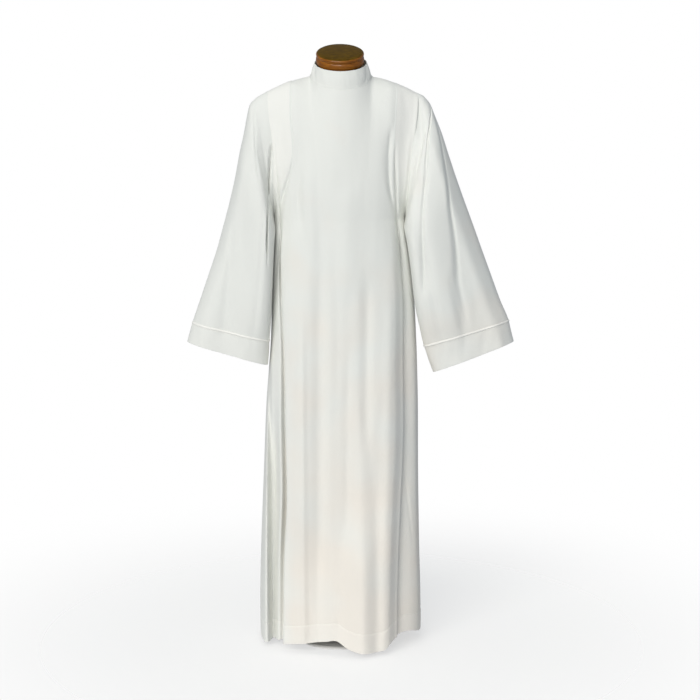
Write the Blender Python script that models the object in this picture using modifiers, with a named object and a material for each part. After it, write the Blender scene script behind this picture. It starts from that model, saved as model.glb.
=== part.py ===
# An alb, a long white robe, hanging on a limbless dress form with a turned wooden neck cap.
# Metres, +Z up. The front faces -Y. Left and right are the wearer's in every name, and left is
# at +X. The origin is the centre of the stand's underside, on the floor.

import math
from collections import namedtuple

import bmesh
import bpy
from mathutils import Matrix, Vector

# Driving dimensions of the robe
WALL = 0.0012             # cloth thickness, with its facings
SEAM = 0.0004             # gap between two pieces at a seam
UNDERARM_SEAM = 0.0010    # and at the underarm, where the walls bend most
UNDERARM_REACH = 0.03     # it has narrowed again this far in front of and behind the arm's middle
UNDERARM = 1.120          # height of the armhole's lowest point
NECK_SIDE = 1.477         # height of the neck seam where it meets the shoulder seam
SHOULDER_LEAN = 0.20      # fall of the shoulder line beside the neck
SHOULDER_CURVE = 1.42     # how much more it falls further out
CHEST_ROUND = (2.0, 2.6)  # superellipse power of the side profile, at the neck and the arm
CHEST_BLEND = (0.38, 0.78)    # the shares of the half width between which it goes from one to the other
SIDE_ROUND = (2.4, 2.2)   # superellipse powers of a level section through the body
ARMHOLE_DEPTH = {"front": 0.074, "back": 0.078}
ARMHOLE_RISE = 0.45       # the share of the armhole's height in which it opens to that depth
ARMHOLE_BLUNT = 0.55      # how quickly it opens at the underarm, less is quicker
ARMHOLE_SCOOP = 1.3       # how slowly its edge starts to climb from the underarm
ARMHOLE_REACH = 0.45      # the share of the half width where the armhole starts to shape the panel
ARMHOLE_SHAPED = 0.80     # and where it has shaped its depth
ARMHOLE_CORNER = 8        # how crisply that depth takes over from the chest's
HEM_FADE = 0.25           # the hem's unevenness has died out at this height
NORMAL_STEP = 0.004       # the step, as a share, over which a surface's way out is measured

# The neck seam is half of one tilted ellipse in front and half of another behind, and the
# collar's top edge is a tilted ellipse too
NECK_WIDTH = 0.079
NECK_DEPTH = {"front": 0.085, "back": 0.060}
NECK_TILT = 0.35
NECK_CORNER = 0.47        # the share of the panel's half width whose line ends at the neck's side
NECK_FAN = 1.25           # how the lines fan out round the neck, more crowds them to the middle
COLLAR_TOP_WIDTH = 0.066
COLLAR_TOP_DEPTH = 0.065
COLLAR_TOP_CENTRE = -0.013
COLLAR_TOP_HEIGHT = 1.5155
COLLAR_TOP_TILT = 0.30
COLLAR_END_ANGLE = 61     # where the outer end of the collar lies, in degrees from the front
COLLAR_LAP_ANGLE = 24     # how far the two ends lap
COLLAR_LAP_STEP = 0.0017  # the outer end stands this far off the inner one
COLLAR_LAP_EASE = 12      # degrees over which it steps out
COLLAR_LAP_LEAD = 14      # and how far before the lap it starts to
COLLAR_INSET = 0.0020     # the band stands this far inside the neck seam
COLLAR_SWELL = 0.0012     # its middle rounds out this much
COLLAR_COLUMNS = 44
COLLAR_ROWS = [0.0, 0.33, 0.67, 1.0]

# The form and its stand
FORM_CLEARANCE = 0.0020   # from the cloth's outer face down to the form along the shoulder
CAP_TILT = math.radians(20)
CAP_CENTRE = Vector((-0.0018, -0.0225, 1.5385))
CAP_STEPS = 36
POLE_RADIUS = 0.0125
BASE_RADIUS = 0.120
BASE_RIM = 0.006
BASE_RISE = 0.014
BOSS_WALL = 0.012         # metal of the base's boss round the pole
BOSS_HEIGHT = 0.010
BASE_STEPS = 40
METAL_GAP = 0.0003        # between the pole, the boss under it and the form over it

FACING = {"front": -1, "back": 1}

SkirtRow = namedtuple("SkirtRow", "height right left front back")
SKIRT = [
    SkirtRow(0.00, 0.2140, 0.2112, 0.176, 0.170),
    SkirtRow(0.10, 0.2150, 0.2105, 0.172, 0.168),
    SkirtRow(0.25, 0.2115, 0.2065, 0.163, 0.160),
    SkirtRow(0.45, 0.2030, 0.2025, 0.151, 0.149),
    SkirtRow(0.63, 0.1950, 0.2008, 0.142, 0.141),
    SkirtRow(0.72, 0.1880, 0.1985, 0.138, 0.137),
    SkirtRow(0.80, 0.1820, 0.1955, 0.134, 0.134),
    SkirtRow(0.93, 0.1785, 0.1880, 0.129, 0.127),
    SkirtRow(1.04, 0.1750, 0.1750, 0.124, 0.121),
    SkirtRow(1.12, 0.1715, 0.1640, 0.120, 0.117),
]
# The heights of the panels' rows, as shares: 0 at the hem, 1 at the underarm, 2 at the top edge
SKIRT_LEVELS = [0.0, 0.05, 0.11, 0.20, 0.32, 0.46, 0.60, 0.73, 0.86, 0.95]
CHEST_LEVELS = [1.0, 1.035, 1.08, 1.15, 1.23, 1.32, 1.41, 1.50, 1.58, 1.66, 1.74, 1.83, 1.92, 2.0]

ArmholeRow = namedtuple("ArmholeRow", "height right left")
ARMHOLE = [
    ArmholeRow(1.120, 0.1715, 0.1640),
    ArmholeRow(1.200, 0.1705, 0.1712),
    ArmholeRow(1.290, 0.1700, 0.1790),
    ArmholeRow(1.340, 0.1752, 0.1860),
    ArmholeRow(1.380, 0.1810, 0.1908),
    ArmholeRow(1.440, 0.1850, 0.1950),
]

# Where each pleat's fold shows, from the front. "turn" is how far the cloth turns over in the
# pleat: +180 lays the side over the middle, -180 lays the middle over the side, 0 is open.
# "first" and "second" are the radii of its two turns, counted from the side seam inwards.
PleatRow = namedtuple("PleatRow", "height right left turn first second lap proud")
PLEATS = [
    PleatRow(0.00, 0.1505, 0.1460, -180, 0.0030, 0.0042, 0.020, 0.0050),
    PleatRow(0.23, 0.1470, 0.1480, -180, 0.0030, 0.0042, 0.020, 0.0060),
    PleatRow(0.40, 0.1390, 0.1545, -180, 0.0030, 0.0042, 0.018, 0.0070),
    PleatRow(0.56, 0.1410, 0.1605, -180, 0.0028, 0.0040, 0.018, 0.0070),
    PleatRow(0.78, 0.1440, 0.1590, -180, 0.0028, 0.0038, 0.016, 0.0060),
    PleatRow(0.92, 0.1505, 0.1580, -170, 0.0030, 0.0038, 0.014, 0.0050),
    PleatRow(1.04, 0.1490, 0.1500, -120, 0.0036, 0.0040, 0.012, 0.0040),
    PleatRow(1.12, 0.1440, 0.1430, -60, 0.0042, 0.0042, 0.011, 0.0025),
    PleatRow(1.19, 0.1330, 0.1350, -12, 0.0042, 0.0042, 0.010, 0.0010),
    PleatRow(1.24, 0.1265, 0.1330, 25, 0.0042, 0.0040, 0.010, 0.0000),
    PleatRow(1.28, 0.1220, 0.1320, 80, 0.0036, 0.0030, 0.009, 0.0000),
    PleatRow(1.32, 0.1200, 0.1330, 150, 0.0026, 0.0016, 0.009, 0.0000),
    PleatRow(1.36, 0.1240, 0.1360, 178, 0.0021, 0.0009, 0.010, 0.0000),
    PleatRow(1.45, 0.1280, 0.1440, 180, 0.0021, 0.0009, 0.010, 0.0000),
]
TURN_STEPS = 3            # straight pieces in each turn of a pleat

# Soft folds: a ridge where lift is positive, a hollow where it is negative. x runs straight
# from the top of the fold to its bottom.
FOLD_START = 0.30         # a fold has its full lift at this share of its length
FOLD_END = (1.05, 1.15)   # and fades out between these
FOLD_MARGIN = 0.06        # no fold runs into a side edge, within this share of the half width
Fold = namedtuple("Fold", "top bottom x_top x_bottom width lift")
FRONT_FOLDS = [
    Fold(1.27, 0.00, -0.066, -0.094, 0.022, -0.0085),
    Fold(1.05, 0.00, -0.124, -0.126, 0.018, 0.0050),
    Fold(1.22, 0.00, 0.004, 0.040, 0.034, 0.0070),
    Fold(1.02, 0.55, 0.060, 0.060, 0.020, -0.0065),
    Fold(1.12, 0.40, 0.112, 0.108, 0.020, 0.0060),
    Fold(0.60, 0.00, 0.134, 0.112, 0.014, -0.0060),
    Fold(0.42, -0.30, 0.064, 0.062, 0.062, 0.0290),
    Fold(0.42, -0.30, -0.086, -0.086, 0.066, -0.0190),
    Fold(0.70, -0.10, -0.185, -0.184, 0.014, -0.0110),
    Fold(0.55, -0.10, 0.182, 0.186, 0.012, -0.0070),
]
BACK_FOLDS = [
    Fold(1.20, 0.00, -0.052, -0.070, 0.028, -0.0090),
    Fold(1.16, 0.00, 0.010, -0.006, 0.036, 0.0080),
    Fold(1.18, 0.00, 0.070, 0.084, 0.026, -0.0085),
    Fold(0.50, -0.30, -0.040, -0.036, 0.060, 0.0180),
    Fold(0.40, -0.30, 0.090, 0.094, 0.050, 0.0120),
    Fold(0.65, -0.10, 0.176, 0.182, 0.016, -0.0090),
    Fold(0.60, -0.10, -0.178, -0.184, 0.016, -0.0080),
]
FOLDS = {"front": FRONT_FOLDS, "back": BACK_FOLDS}

HemRow = namedtuple("HemRow", "x front back")
HEM = [
    HemRow(-0.215, 0.011, 0.016),
    HemRow(-0.150, 0.019, 0.022),
    HemRow(-0.080, 0.027, 0.028),
    HemRow(-0.040, 0.033, 0.026),
    HemRow(-0.012, 0.038, 0.024),
    HemRow(0.018, 0.021, 0.022),
    HemRow(0.064, 0.013, 0.026),
    HemRow(0.110, 0.015, 0.030),
    HemRow(0.135, 0.033, 0.027),
    HemRow(0.160, 0.043, 0.027),
    HemRow(0.187, 0.042, 0.028),
    HemRow(0.212, 0.028, 0.030),
]

# A sleeve's rings, each from its outer point to its inner point, with its half depths.
SleeveRow = namedtuple("SleeveRow", "out_x out_z in_x in_z in_y front back even")
SLEEVES = {
    "right": [
        SleeveRow(-0.2155, 1.4225, -0.1765, 1.112, -0.004, 0.081, 0.084, 0.10),
        SleeveRow(-0.2310, 1.4060, -0.1785, 1.103, -0.008, 0.080, 0.083, 0.25),
        SleeveRow(-0.2385, 1.3770, -0.1788, 1.093, -0.012, 0.079, 0.082, 0.45),
        SleeveRow(-0.2475, 1.3310, -0.1785, 1.079, -0.016, 0.077, 0.080, 0.70),
        SleeveRow(-0.2580, 1.2850, -0.1782, 1.060, -0.020, 0.075, 0.077, 0.90),
        SleeveRow(-0.2695, 1.2250, -0.1785, 1.030, -0.024, 0.073, 0.074, 1.00),
        SleeveRow(-0.2840, 1.1626, -0.1792, 0.995, -0.026, 0.070, 0.071, 1.00),
        SleeveRow(-0.3015, 1.0980, -0.1802, 0.953, -0.028, 0.067, 0.068, 1.00),
        SleeveRow(-0.3200, 1.0330, -0.1812, 0.912, -0.028, 0.064, 0.065, 1.00),
        SleeveRow(-0.3420, 0.9690, -0.1822, 0.874, -0.028, 0.061, 0.061, 1.00),
        SleeveRow(-0.3648, 0.9030, -0.1835, 0.838, -0.028, 0.057, 0.057, 1.00),
        SleeveRow(-0.3840, 0.8480, -0.1850, 0.804, -0.028, 0.054, 0.053, 1.00),
    ],
    "left": [
        SleeveRow(0.2130, 1.4250, 0.1710, 1.111, -0.003, 0.081, 0.084, 0.10),
        SleeveRow(0.2270, 1.4075, 0.1722, 1.103, -0.012, 0.080, 0.083, 0.25),
        SleeveRow(0.2385, 1.3800, 0.1730, 1.093, -0.020, 0.079, 0.082, 0.45),
        SleeveRow(0.2570, 1.3337, 0.1745, 1.079, -0.028, 0.077, 0.080, 0.70),
        SleeveRow(0.2753, 1.2778, 0.1762, 1.060, -0.034, 0.075, 0.077, 0.90),
        SleeveRow(0.2950, 1.2200, 0.1788, 1.030, -0.038, 0.073, 0.074, 1.00),
        SleeveRow(0.3158, 1.1626, 0.1828, 0.995, -0.040, 0.070, 0.071, 1.00),
        SleeveRow(0.3400, 1.0980, 0.1872, 0.953, -0.040, 0.067, 0.068, 1.00),
        SleeveRow(0.3635, 1.0336, 0.1916, 0.912, -0.040, 0.064, 0.065, 1.00),
        SleeveRow(0.3875, 0.9690, 0.1958, 0.872, -0.040, 0.061, 0.061, 1.00),
        SleeveRow(0.4120, 0.9034, 0.2015, 0.832, -0.038, 0.057, 0.057, 1.00),
        SleeveRow(0.4340, 0.8525, 0.2115, 0.788, -0.036, 0.054, 0.053, 1.00),
    ],
}
# The cuff band runs on from the sleeve's last ring to this one
CUFF_ENDS = {
    "right": SleeveRow(-0.3990, 0.7960, -0.1880, 0.739, -0.026, 0.051, 0.050, 1.00),
    "left": SleeveRow(0.4480, 0.7965, 0.2370, 0.718, -0.032, 0.051, 0.050, 1.00),
}
SLEEVE_ROUND = 2.3        # superellipse power of a sleeve's ring
SLEEVE_TIP = {"right": 0.06, "left": 0.10}   # how much a ring's front is higher, by its depth
TRIM_WIDTH = 0.0055
TRIM_THICKNESS = 0.0016
TRIM_LIFT = 0.0003        # gap between the trim and the band under it
CUFF_ROWS = [0.35, 0.70, 1.0]

# Folds down a sleeve: "at" is the place round the ring, 0 at its outer point and 180 at its
# inner one, front side positive. start and end are shares of the sleeve's length.
SLEEVE_FOLD_START = 0.25  # shares of a fold's own length over which it rises and fades
SLEEVE_FOLD_END = 0.15
SleeveFold = namedtuple("SleeveFold", "start end at_start at_end width lift")
SLEEVE_FOLDS = {
    "right": [
        SleeveFold(0.45, 1.30, 78, 96, 15, -0.0060),
        SleeveFold(0.30, 1.20, 45, 56, 16, 0.0040),
        SleeveFold(0.35, 1.30, -96, -86, 18, -0.0060),
        SleeveFold(0.20, 1.25, -48, -52, 16, 0.0040),
    ],
    "left": [
        SleeveFold(0.05, 1.25, 62, 54, 13, 0.0060),
        SleeveFold(0.02, 0.80, 92, 128, 14, -0.0060),
        SleeveFold(0.40, 1.30, 98, 100, 15, 0.0035),
        SleeveFold(0.30, 1.30, -88, -96, 18, -0.0060),
        SleeveFold(0.10, 1.20, -52, -50, 16, 0.0045),
    ],
}

FormRow = namedtuple("FormRow", "height width front back centre")
FORM = [
    FormRow(0.742, 0.138, 0.094, 0.094, 0.004),
    FormRow(0.760, 0.152, 0.106, 0.106, 0.004),
    FormRow(0.850, 0.164, 0.112, 0.112, 0.004),
    FormRow(0.940, 0.152, 0.100, 0.102, 0.004),
    FormRow(1.030, 0.134, 0.090, 0.088, 0.003),
    FormRow(1.120, 0.138, 0.092, 0.088, 0.000),
    FormRow(1.210, 0.147, 0.100, 0.096, 0.000),
    FormRow(1.290, 0.158, 0.096, 0.094, 0.001),
    FormRow(1.340, 0.178, 0.082, 0.084, 0.003),
    FormRow(1.372, 0.196, 0.068, 0.072, 0.004),
    FormRow(1.394, 0.204, 0.057, 0.062, 0.004),
]
# The shoulders' sections. Each lies under the cloth's shoulder line at its own half width.
# fall and rise are the slopes of its front and its back.
ShoulderRow = namedtuple("ShoulderRow", "width front back power fall rise drop")
SHOULDERS = [
    ShoulderRow(0.195, 0.050, 0.054, 1.70, 0.02, 0.00, 0.003),
    ShoulderRow(0.183, 0.050, 0.052, 1.65, 0.06, 0.00, 0.001),
    ShoulderRow(0.168, 0.050, 0.050, 1.60, 0.12, 0.00, 0.000),
    ShoulderRow(0.150, 0.050, 0.049, 1.50, 0.18, 0.00, 0.000),
    ShoulderRow(0.130, 0.050, 0.048, 1.40, 0.24, 0.00, 0.000),
    ShoulderRow(0.108, 0.049, 0.046, 1.30, 0.30, 0.00, 0.000),
    ShoulderRow(0.090, 0.048, 0.044, 1.25, 0.33, 0.00, 0.001),
    ShoulderRow(0.073, 0.048, 0.044, 1.50, 0.35, 0.35, 0.001),
]
NECK_RADIUS = 0.0565
NECK_DOWN = (0.054, 0.0342)   # the neck's two rings, measured down from the cap's centre
FORM_ROUND = 2.35         # superellipse power of its level sections
FORM_COLUMNS = 28


def smooth_value(rows, key, column):
    """The column's value at a key, on a smooth curve through the table's rows."""
    keys = [row[0] for row in rows]
    values = [getattr(row, column) for row in rows]
    if key <= keys[0]:
        return values[0]
    if key >= keys[-1]:
        return values[-1]
    last = max(i for i in range(len(keys) - 1) if keys[i] <= key)
    before = max(last - 1, 0)
    after = min(last + 2, len(keys) - 1)
    span = keys[last + 1] - keys[last]
    share = (key - keys[last]) / span
    slope_a = (values[last + 1] - values[before]) / (keys[last + 1] - keys[before]) * span
    slope_b = (values[after] - values[last]) / (keys[after] - keys[last]) * span
    return (
        values[last] * (1 + 2 * share) * (1 - share) ** 2
        + slope_a * share * (1 - share) ** 2
        + values[last + 1] * share * share * (3 - 2 * share)
        - slope_b * share * share * (1 - share)
    )


def side_of(share):
    return "right" if share < 0 else "left"


def mix(a, b, share):
    return a + (b - a) * share


def ease(share):
    share = min(max(share, 0.0), 1.0)
    return share * share * (3 - 2 * share)


def superellipse(share, power, root):
    """How deep a round section is at a share of its half width, 1 at the middle."""
    return max(0.0, 1 - min(abs(share), 1.0) ** power) ** (1 / root)


def shoulder_height(x):
    out = max(abs(x) - NECK_WIDTH, 0.0)
    return NECK_SIDE - SHOULDER_LEAN * out - SHOULDER_CURVE * out * out


def neck_point(angle):
    """A point of the neck seam, at an angle from the front."""
    depth = NECK_DEPTH["front" if math.cos(angle) > 0 else "back"]
    y = -depth * math.cos(angle)
    return Vector((NECK_WIDTH * math.sin(angle), y, NECK_SIDE + NECK_TILT * y))


def shoulder_end(share):
    """The x of the shoulder's tip on the side that the share belongs to."""
    return getattr(ARMHOLE[-1], side_of(share))


def top_point(face, share):
    """Where a line up the panel ends: on the neck seam or on the shoulder seam."""
    outward = abs(share)
    if outward >= NECK_CORNER:
        reach = (outward - NECK_CORNER) / (1 - NECK_CORNER)
        x = math.copysign(mix(NECK_WIDTH, shoulder_end(share), reach), share)
        return Vector((x, 0.0, shoulder_height(x)))
    turn = math.copysign((outward / NECK_CORNER) ** NECK_FAN, share) * math.pi / 2
    return neck_point(turn if face == "front" else math.pi - turn)


def hem_height(face, x):
    return smooth_value(HEM, x, face)


def panel_point(face, share, level):
    """A point of the panel before its folds. share runs from -1 at the wearer's right edge to
    1 at the left one. level is 0 at the hem, 1 at the underarm and 2 at the panel's top."""
    facing = FACING[face]
    seam = facing * SEAM / 2
    side = side_of(share)
    if level <= 1:
        height = level * UNDERARM
        half = smooth_value(SKIRT, height, side)
        depth = smooth_value(SKIRT, height, face) * superellipse(share, *SIDE_ROUND)
        lift = hem_height(face, share * half) * max(0.0, 1 - height / HEM_FADE)
        return Vector((share * half, facing * depth + seam, height + lift))
    top = top_point(face, share)
    start = getattr(SKIRT[-1], face) * superellipse(share, *SIDE_ROUND)
    end = min(abs(top.y), start)
    outward = abs(share)
    blend_start, blend_end = CHEST_BLEND
    round_power = mix(*CHEST_ROUND, ease((outward - blend_start) / (blend_end - blend_start)))
    last_angle = math.pi / 2
    if end > 0:
        last_angle = math.acos((end / start) ** (round_power / 2))
    angle = (level - 1) * last_angle
    shaped = ease((outward - ARMHOLE_REACH) / (1 - ARMHOLE_REACH))
    climb = mix(2 / round_power, ARMHOLE_SCOOP, shaped)
    height = UNDERARM + (top.z - UNDERARM) * (math.sin(angle) / math.sin(last_angle)) ** climb
    rise = math.sin(min((level - 1) / ARMHOLE_RISE, 1.0) * math.pi / 2) ** ARMHOLE_BLUNT
    edge = ARMHOLE_DEPTH[face] * rise
    edge *= ease((outward - ARMHOLE_REACH) / (ARMHOLE_SHAPED - ARMHOLE_REACH))
    depth = (start ** ARMHOLE_CORNER + edge ** ARMHOLE_CORNER) ** (1 / ARMHOLE_CORNER)
    depth *= max(math.cos(angle), 0.0) ** (2 / round_power)
    wide = share * smooth_value(ARMHOLE, height, side)
    x = mix(wide, top.x, (level - 1) ** 4)
    return Vector((x, facing * depth + seam, height))


def panel_normal(face, share, level):
    """The way out of the panel, found from its neighbouring points."""
    low = max(level - NORMAL_STEP, 0.0)
    high = min(level + NORMAL_STEP, 2.0)
    up = panel_point(face, share, high) - panel_point(face, share, low)
    left = max(share - NORMAL_STEP, -1.0)
    right = min(share + NORMAL_STEP, 1.0)
    across = panel_point(face, right, level) - panel_point(face, left, level)
    return (across.cross(up) * -FACING[face]).normalized()


def edge_normal(face, share, level):
    """The way out at a panel's side edge. Two walls that meet at a seam share it, so that their
    rims stay parallel: it is level at a side seam, and at the armhole it halves the bend."""
    if level < 1:
        return Vector((math.copysign(1, share), 0, 0))
    seam = armhole_seam(side_of(share))
    index = CHEST_LEVELS.index(level)
    return seam[index if face == "front" else -index].normal


def pleat_profile(row_height):
    """The pleat's cross-section as (across, out) offsets, starting on the side seam's side."""
    turn = math.radians(smooth_value(PLEATS, row_height, "turn"))
    lap = smooth_value(PLEATS, row_height, "lap")
    heading = 0.0
    across, out = 0.0, 0.0
    points = [(across, out)]
    for radius in ("first", "second"):
        bend = smooth_value(PLEATS, row_height, radius) * math.pi / TURN_STEPS
        for step in range(TURN_STEPS):
            share = (step + 0.5) / TURN_STEPS
            heading = turn * share if radius == "first" else turn * (1 - share)
            across += bend * math.cos(heading)
            out -= bend * math.sin(heading)
            points.append((across, out))
        if radius == "first":
            across += lap * math.cos(turn)
            out -= lap * math.sin(turn)
            points.append((across, out))
    middle = (points[0][0] + points[-1][0]) / 2
    outer_turn = "second" if turn < 0 else "first"
    reach = abs(across) / 2 + smooth_value(PLEATS, row_height, outer_turn)
    shown = ease(abs(turn) / math.radians(150)) * math.copysign(1, -turn)
    shift = shown * reach
    return [(a - middle + shift, o - points[-1][1]) for a, o in points]


def fold_lift(face, x, height):
    """How far the soft folds lift or sink the cloth at a place on the panel."""
    lift = 0.0
    for fold in FOLDS[face]:
        along = (fold.top - height) / (fold.top - fold.bottom)
        if along <= 0:
            continue
        fade_start, fade_end = FOLD_END
        fade = ease(along / FOLD_START) * ease((fade_end - along) / (fade_end - fade_start))
        centre = mix(fold.x_top, fold.x_bottom, min(along, 1.0))
        lift += fold.lift * fade * math.exp(-(((x - centre) / fold.width) ** 2))
    return lift


SIDE_COLUMNS = [0.0, 0.28, 0.55, 0.78]   # shares of the way from the side edge to the pleat
SIDE_CROWD = 1.7          # how much they crowd towards the edge
MIDDLE_COLUMNS = 13
PLEAT_PROBE = 0.8         # a row's pleat is as high as the panel is at this share of its half width
PROUD_REACH = 0.5         # how far in, as a share, the cloth beside a pleat stands proud


def middle_shares(level, right, left):
    """The columns between the two pleats. At the top two of them end at the neck's corners."""
    even = [mix(right, left, (i + 1) / (MIDDLE_COLUMNS + 1)) for i in range(MIDDLE_COLUMNS)]
    if level <= 1:
        return even
    neck_columns = MIDDLE_COLUMNS - 2
    top = [mix(right, -NECK_CORNER, 0.5)]
    for i in range(neck_columns):
        turn = -1 + 2 * i / (neck_columns - 1)
        top.append(math.copysign(abs(turn) ** (1 / NECK_FAN), turn) * NECK_CORNER)
    top.append(mix(left, NECK_CORNER, 0.5))
    return [mix(a, b, ease(level - 1)) for a, b in zip(even, top)]


def panel_row(face, level):
    """One row of the pleated panel, from the wearer's right edge to the left one."""
    probe = panel_point(face, PLEAT_PROBE, level)
    height = level * UNDERARM if level <= 1 else probe.z
    widths = SKIRT if level <= 1 else ARMHOLE
    profile = pleat_profile(height)
    side_lift = profile[0][1]
    proud = smooth_value(PLEATS, height, "proud")
    halves = {side: smooth_value(widths, height, side) for side in ("left", "right")}

    pleats = {}
    for side, sign in (("right", -1), ("left", 1)):
        line = smooth_value(PLEATS, height, side)
        pleats[side] = [(sign * (line - across) / halves[side], out) for across, out in profile]

    def place(share, out):
        point = panel_point(face, share, level)
        x = share * halves[side_of(share)]
        out += fold_lift(face, x, height) * ease((1 - abs(share)) / FOLD_MARGIN)
        return point + panel_normal(face, share, level) * out

    points = []
    for along in SIDE_COLUMNS:
        share = mix(-1, pleats["right"][0][0], along ** SIDE_CROWD)
        points.append(place(share, (side_lift + proud) * ease(along)))
    points += [place(share, out + proud) for share, out in pleats["right"]]
    inner_right = pleats["right"][-1][0]
    inner_left = pleats["left"][-1][0]
    for share in middle_shares(level, inner_right, inner_left):
        near = min(share - inner_right, inner_left - share)
        points.append(place(share, proud * ease(1 - near / PROUD_REACH)))
    points += [place(share, out + proud) for share, out in reversed(pleats["left"])]
    for along in reversed(SIDE_COLUMNS):
        share = mix(1, pleats["left"][0][0], along ** SIDE_CROWD)
        points.append(place(share, (side_lift + proud) * ease(along)))
    return points


def grid_normals(points, closed):
    """The way out at each point of a grid of rows, from its neighbours along and across."""
    rows, columns = len(points), len(points[0])
    normals = []
    for j in range(rows):
        row = []
        for i in range(columns):
            if closed:
                across = points[j][(i + 1) % columns] - points[j][i - 1]
            else:
                across = points[j][min(i + 1, columns - 1)] - points[j][max(i - 1, 0)]
            up = points[min(j + 1, rows - 1)][i] - points[max(j - 1, 0)][i]
            row.append(across.cross(up).normalized())
        normals.append(row)
    return normals


def cloth_wall(name, outer, inner, closed, colour):
    """A wall between two grids of rows, closed round its edges. Each grid is a bmesh grid
    whose vertices are moved to their places."""
    rows, columns = len(outer), len(outer[0])
    bm = bmesh.new()
    layers = []
    for points in (outer, inner):
        made = bmesh.ops.create_grid(bm, x_segments=columns - 1, y_segments=rows - 1, size=1)
        layer = {}
        for vertex in made["verts"]:
            i = round((vertex.co.x + 1) / 2 * (columns - 1))
            j = round((vertex.co.y + 1) / 2 * (rows - 1))
            layer[i, j] = vertex
        for (i, j), vertex in layer.items():
            vertex.co = points[j][i]
        layers.append(layer)
    if closed:
        for layer in layers:
            for j in range(rows - 1):
                lower = (layer[columns - 1, j], layer[0, j])
                bm.faces.new((*lower, layer[0, j + 1], layer[columns - 1, j + 1]))
    inner_vertices = set(layers[1].values())
    inner_faces = [face for face in bm.faces if face.verts[0] in inner_vertices]
    bmesh.ops.reverse_faces(bm, faces=inner_faces)
    partner = {layers[0][key]: layers[1][key] for key in layers[0]}
    rim = [edge for edge in bm.edges if edge.is_boundary and edge.verts[0] in partner]
    for edge in rim:
        loop = edge.link_loops[0]
        start, end = loop.vert, loop.link_loop_next.vert
        bm.faces.new((end, start, partner[start], partner[end]))
    return finish(name, bm, colour, smooth=True)


def finish(name, bm, colour, smooth, roughness=0.8, metallic=0.0):
    """A named object with its own material, in the robe's collection."""
    mesh = bpy.data.meshes.new(name)
    bm.to_mesh(mesh)
    bm.free()
    made = bpy.data.objects.new(name, mesh)
    robe.objects.link(made)
    paint(made, colour, roughness, metallic)
    if smooth:
        mesh.shade_smooth()
        mesh.set_sharp_from_angle(angle=math.radians(40))
    return made


def paint(made, colour, roughness, metallic):
    material = bpy.data.materials.new(made.name)
    material.use_nodes = True
    shader = material.node_tree.nodes["Principled BSDF"]
    shader.inputs["Base Color"].default_value = (*colour, 1)
    shader.inputs["Roughness"].default_value = roughness
    shader.inputs["Metallic"].default_value = metallic
    made.data.materials.clear()
    made.data.materials.append(material)


def panel(face):
    """The front or the back, from its hem to the shoulder and neck seams."""
    levels = SKIRT_LEVELS + CHEST_LEVELS
    outer = [panel_row(face, level) for level in levels]
    shares = (-1, 1)
    if face == "back":
        outer = [list(reversed(row)) for row in outer]
        shares = (1, -1)
    normals = grid_normals(outer, closed=False)
    for j, level in enumerate(levels):
        normals[j][0] = edge_normal(face, shares[0], level)
        normals[j][-1] = edge_normal(face, shares[1], level)
    for i, point in enumerate(outer[-1][1:-1], start=1):
        if abs(point.x) > NECK_WIDTH - 0.001:
            normals[-1][i] = Vector((normals[-1][i].x, 0, normals[-1][i].z)).normalized()
    return cloth_wall(face + "_panel", outer, offset(outer, normals, -WALL), False, (0.86, 0.86, 0.82))


SeamPoint = namedtuple("SeamPoint", "point normal onward")


def armhole_loop(side):
    """The armhole's edge: up its front from the underarm, and down its back."""
    share = -1 if side == "right" else 1
    stations = [("front", level) for level in CHEST_LEVELS]
    stations += [("back", level) for level in reversed(CHEST_LEVELS[1:-1])]
    loop = []
    normals = []
    for face, level in stations:
        point = panel_point(face, share, level)
        normal = panel_normal(face, share, level)
        if level in (1, 2):
            point.y = 0
            normal = Vector((0, 0, 1)) if level == 2 else Vector((share, 0, 0))
        loop.append(point)
        normals.append(normal)
    return loop, normals


def armhole_seam(side):
    """The armhole's points, with the way out that both walls share and the way on into the
    sleeve."""
    if side in SEAMS:
        return SEAMS[side]
    loop, panel_normals = armhole_loop(side)
    ring = sleeve_ring(side, SLEEVES[side][0], 1 / len(SLEEVES[side]), loop)
    facing = 1 if side == "right" else -1
    seam = []
    for i, point in enumerate(loop):
        along = loop[(i + 1) % len(loop)] - loop[i - 1]
        onward = (ring[i] - point).normalized()
        sleeve_normal = along.cross(onward).normalized() * facing
        normal = (sleeve_normal + panel_normals[i]).normalized()
        if i in (0, len(loop) // 2):
            normal = Vector((normal.x, 0, normal.z)).normalized()
        onward = (onward - normal * onward.dot(normal)).normalized()
        seam.append(SeamPoint(point, normal, onward))
    SEAMS[side] = seam
    return seam


SEAMS = {}


def ring_shape(index, count):
    """(along, depth) of a ring's point: along is -1 at the inner point and 1 at the outer."""
    angle = 2 * math.pi * index / count
    along = -math.copysign(abs(math.cos(angle)) ** (2 / SLEEVE_ROUND), math.cos(angle))
    depth = -math.copysign(abs(math.sin(angle)) ** (2 / SLEEVE_ROUND), math.sin(angle))
    return along, depth


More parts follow.
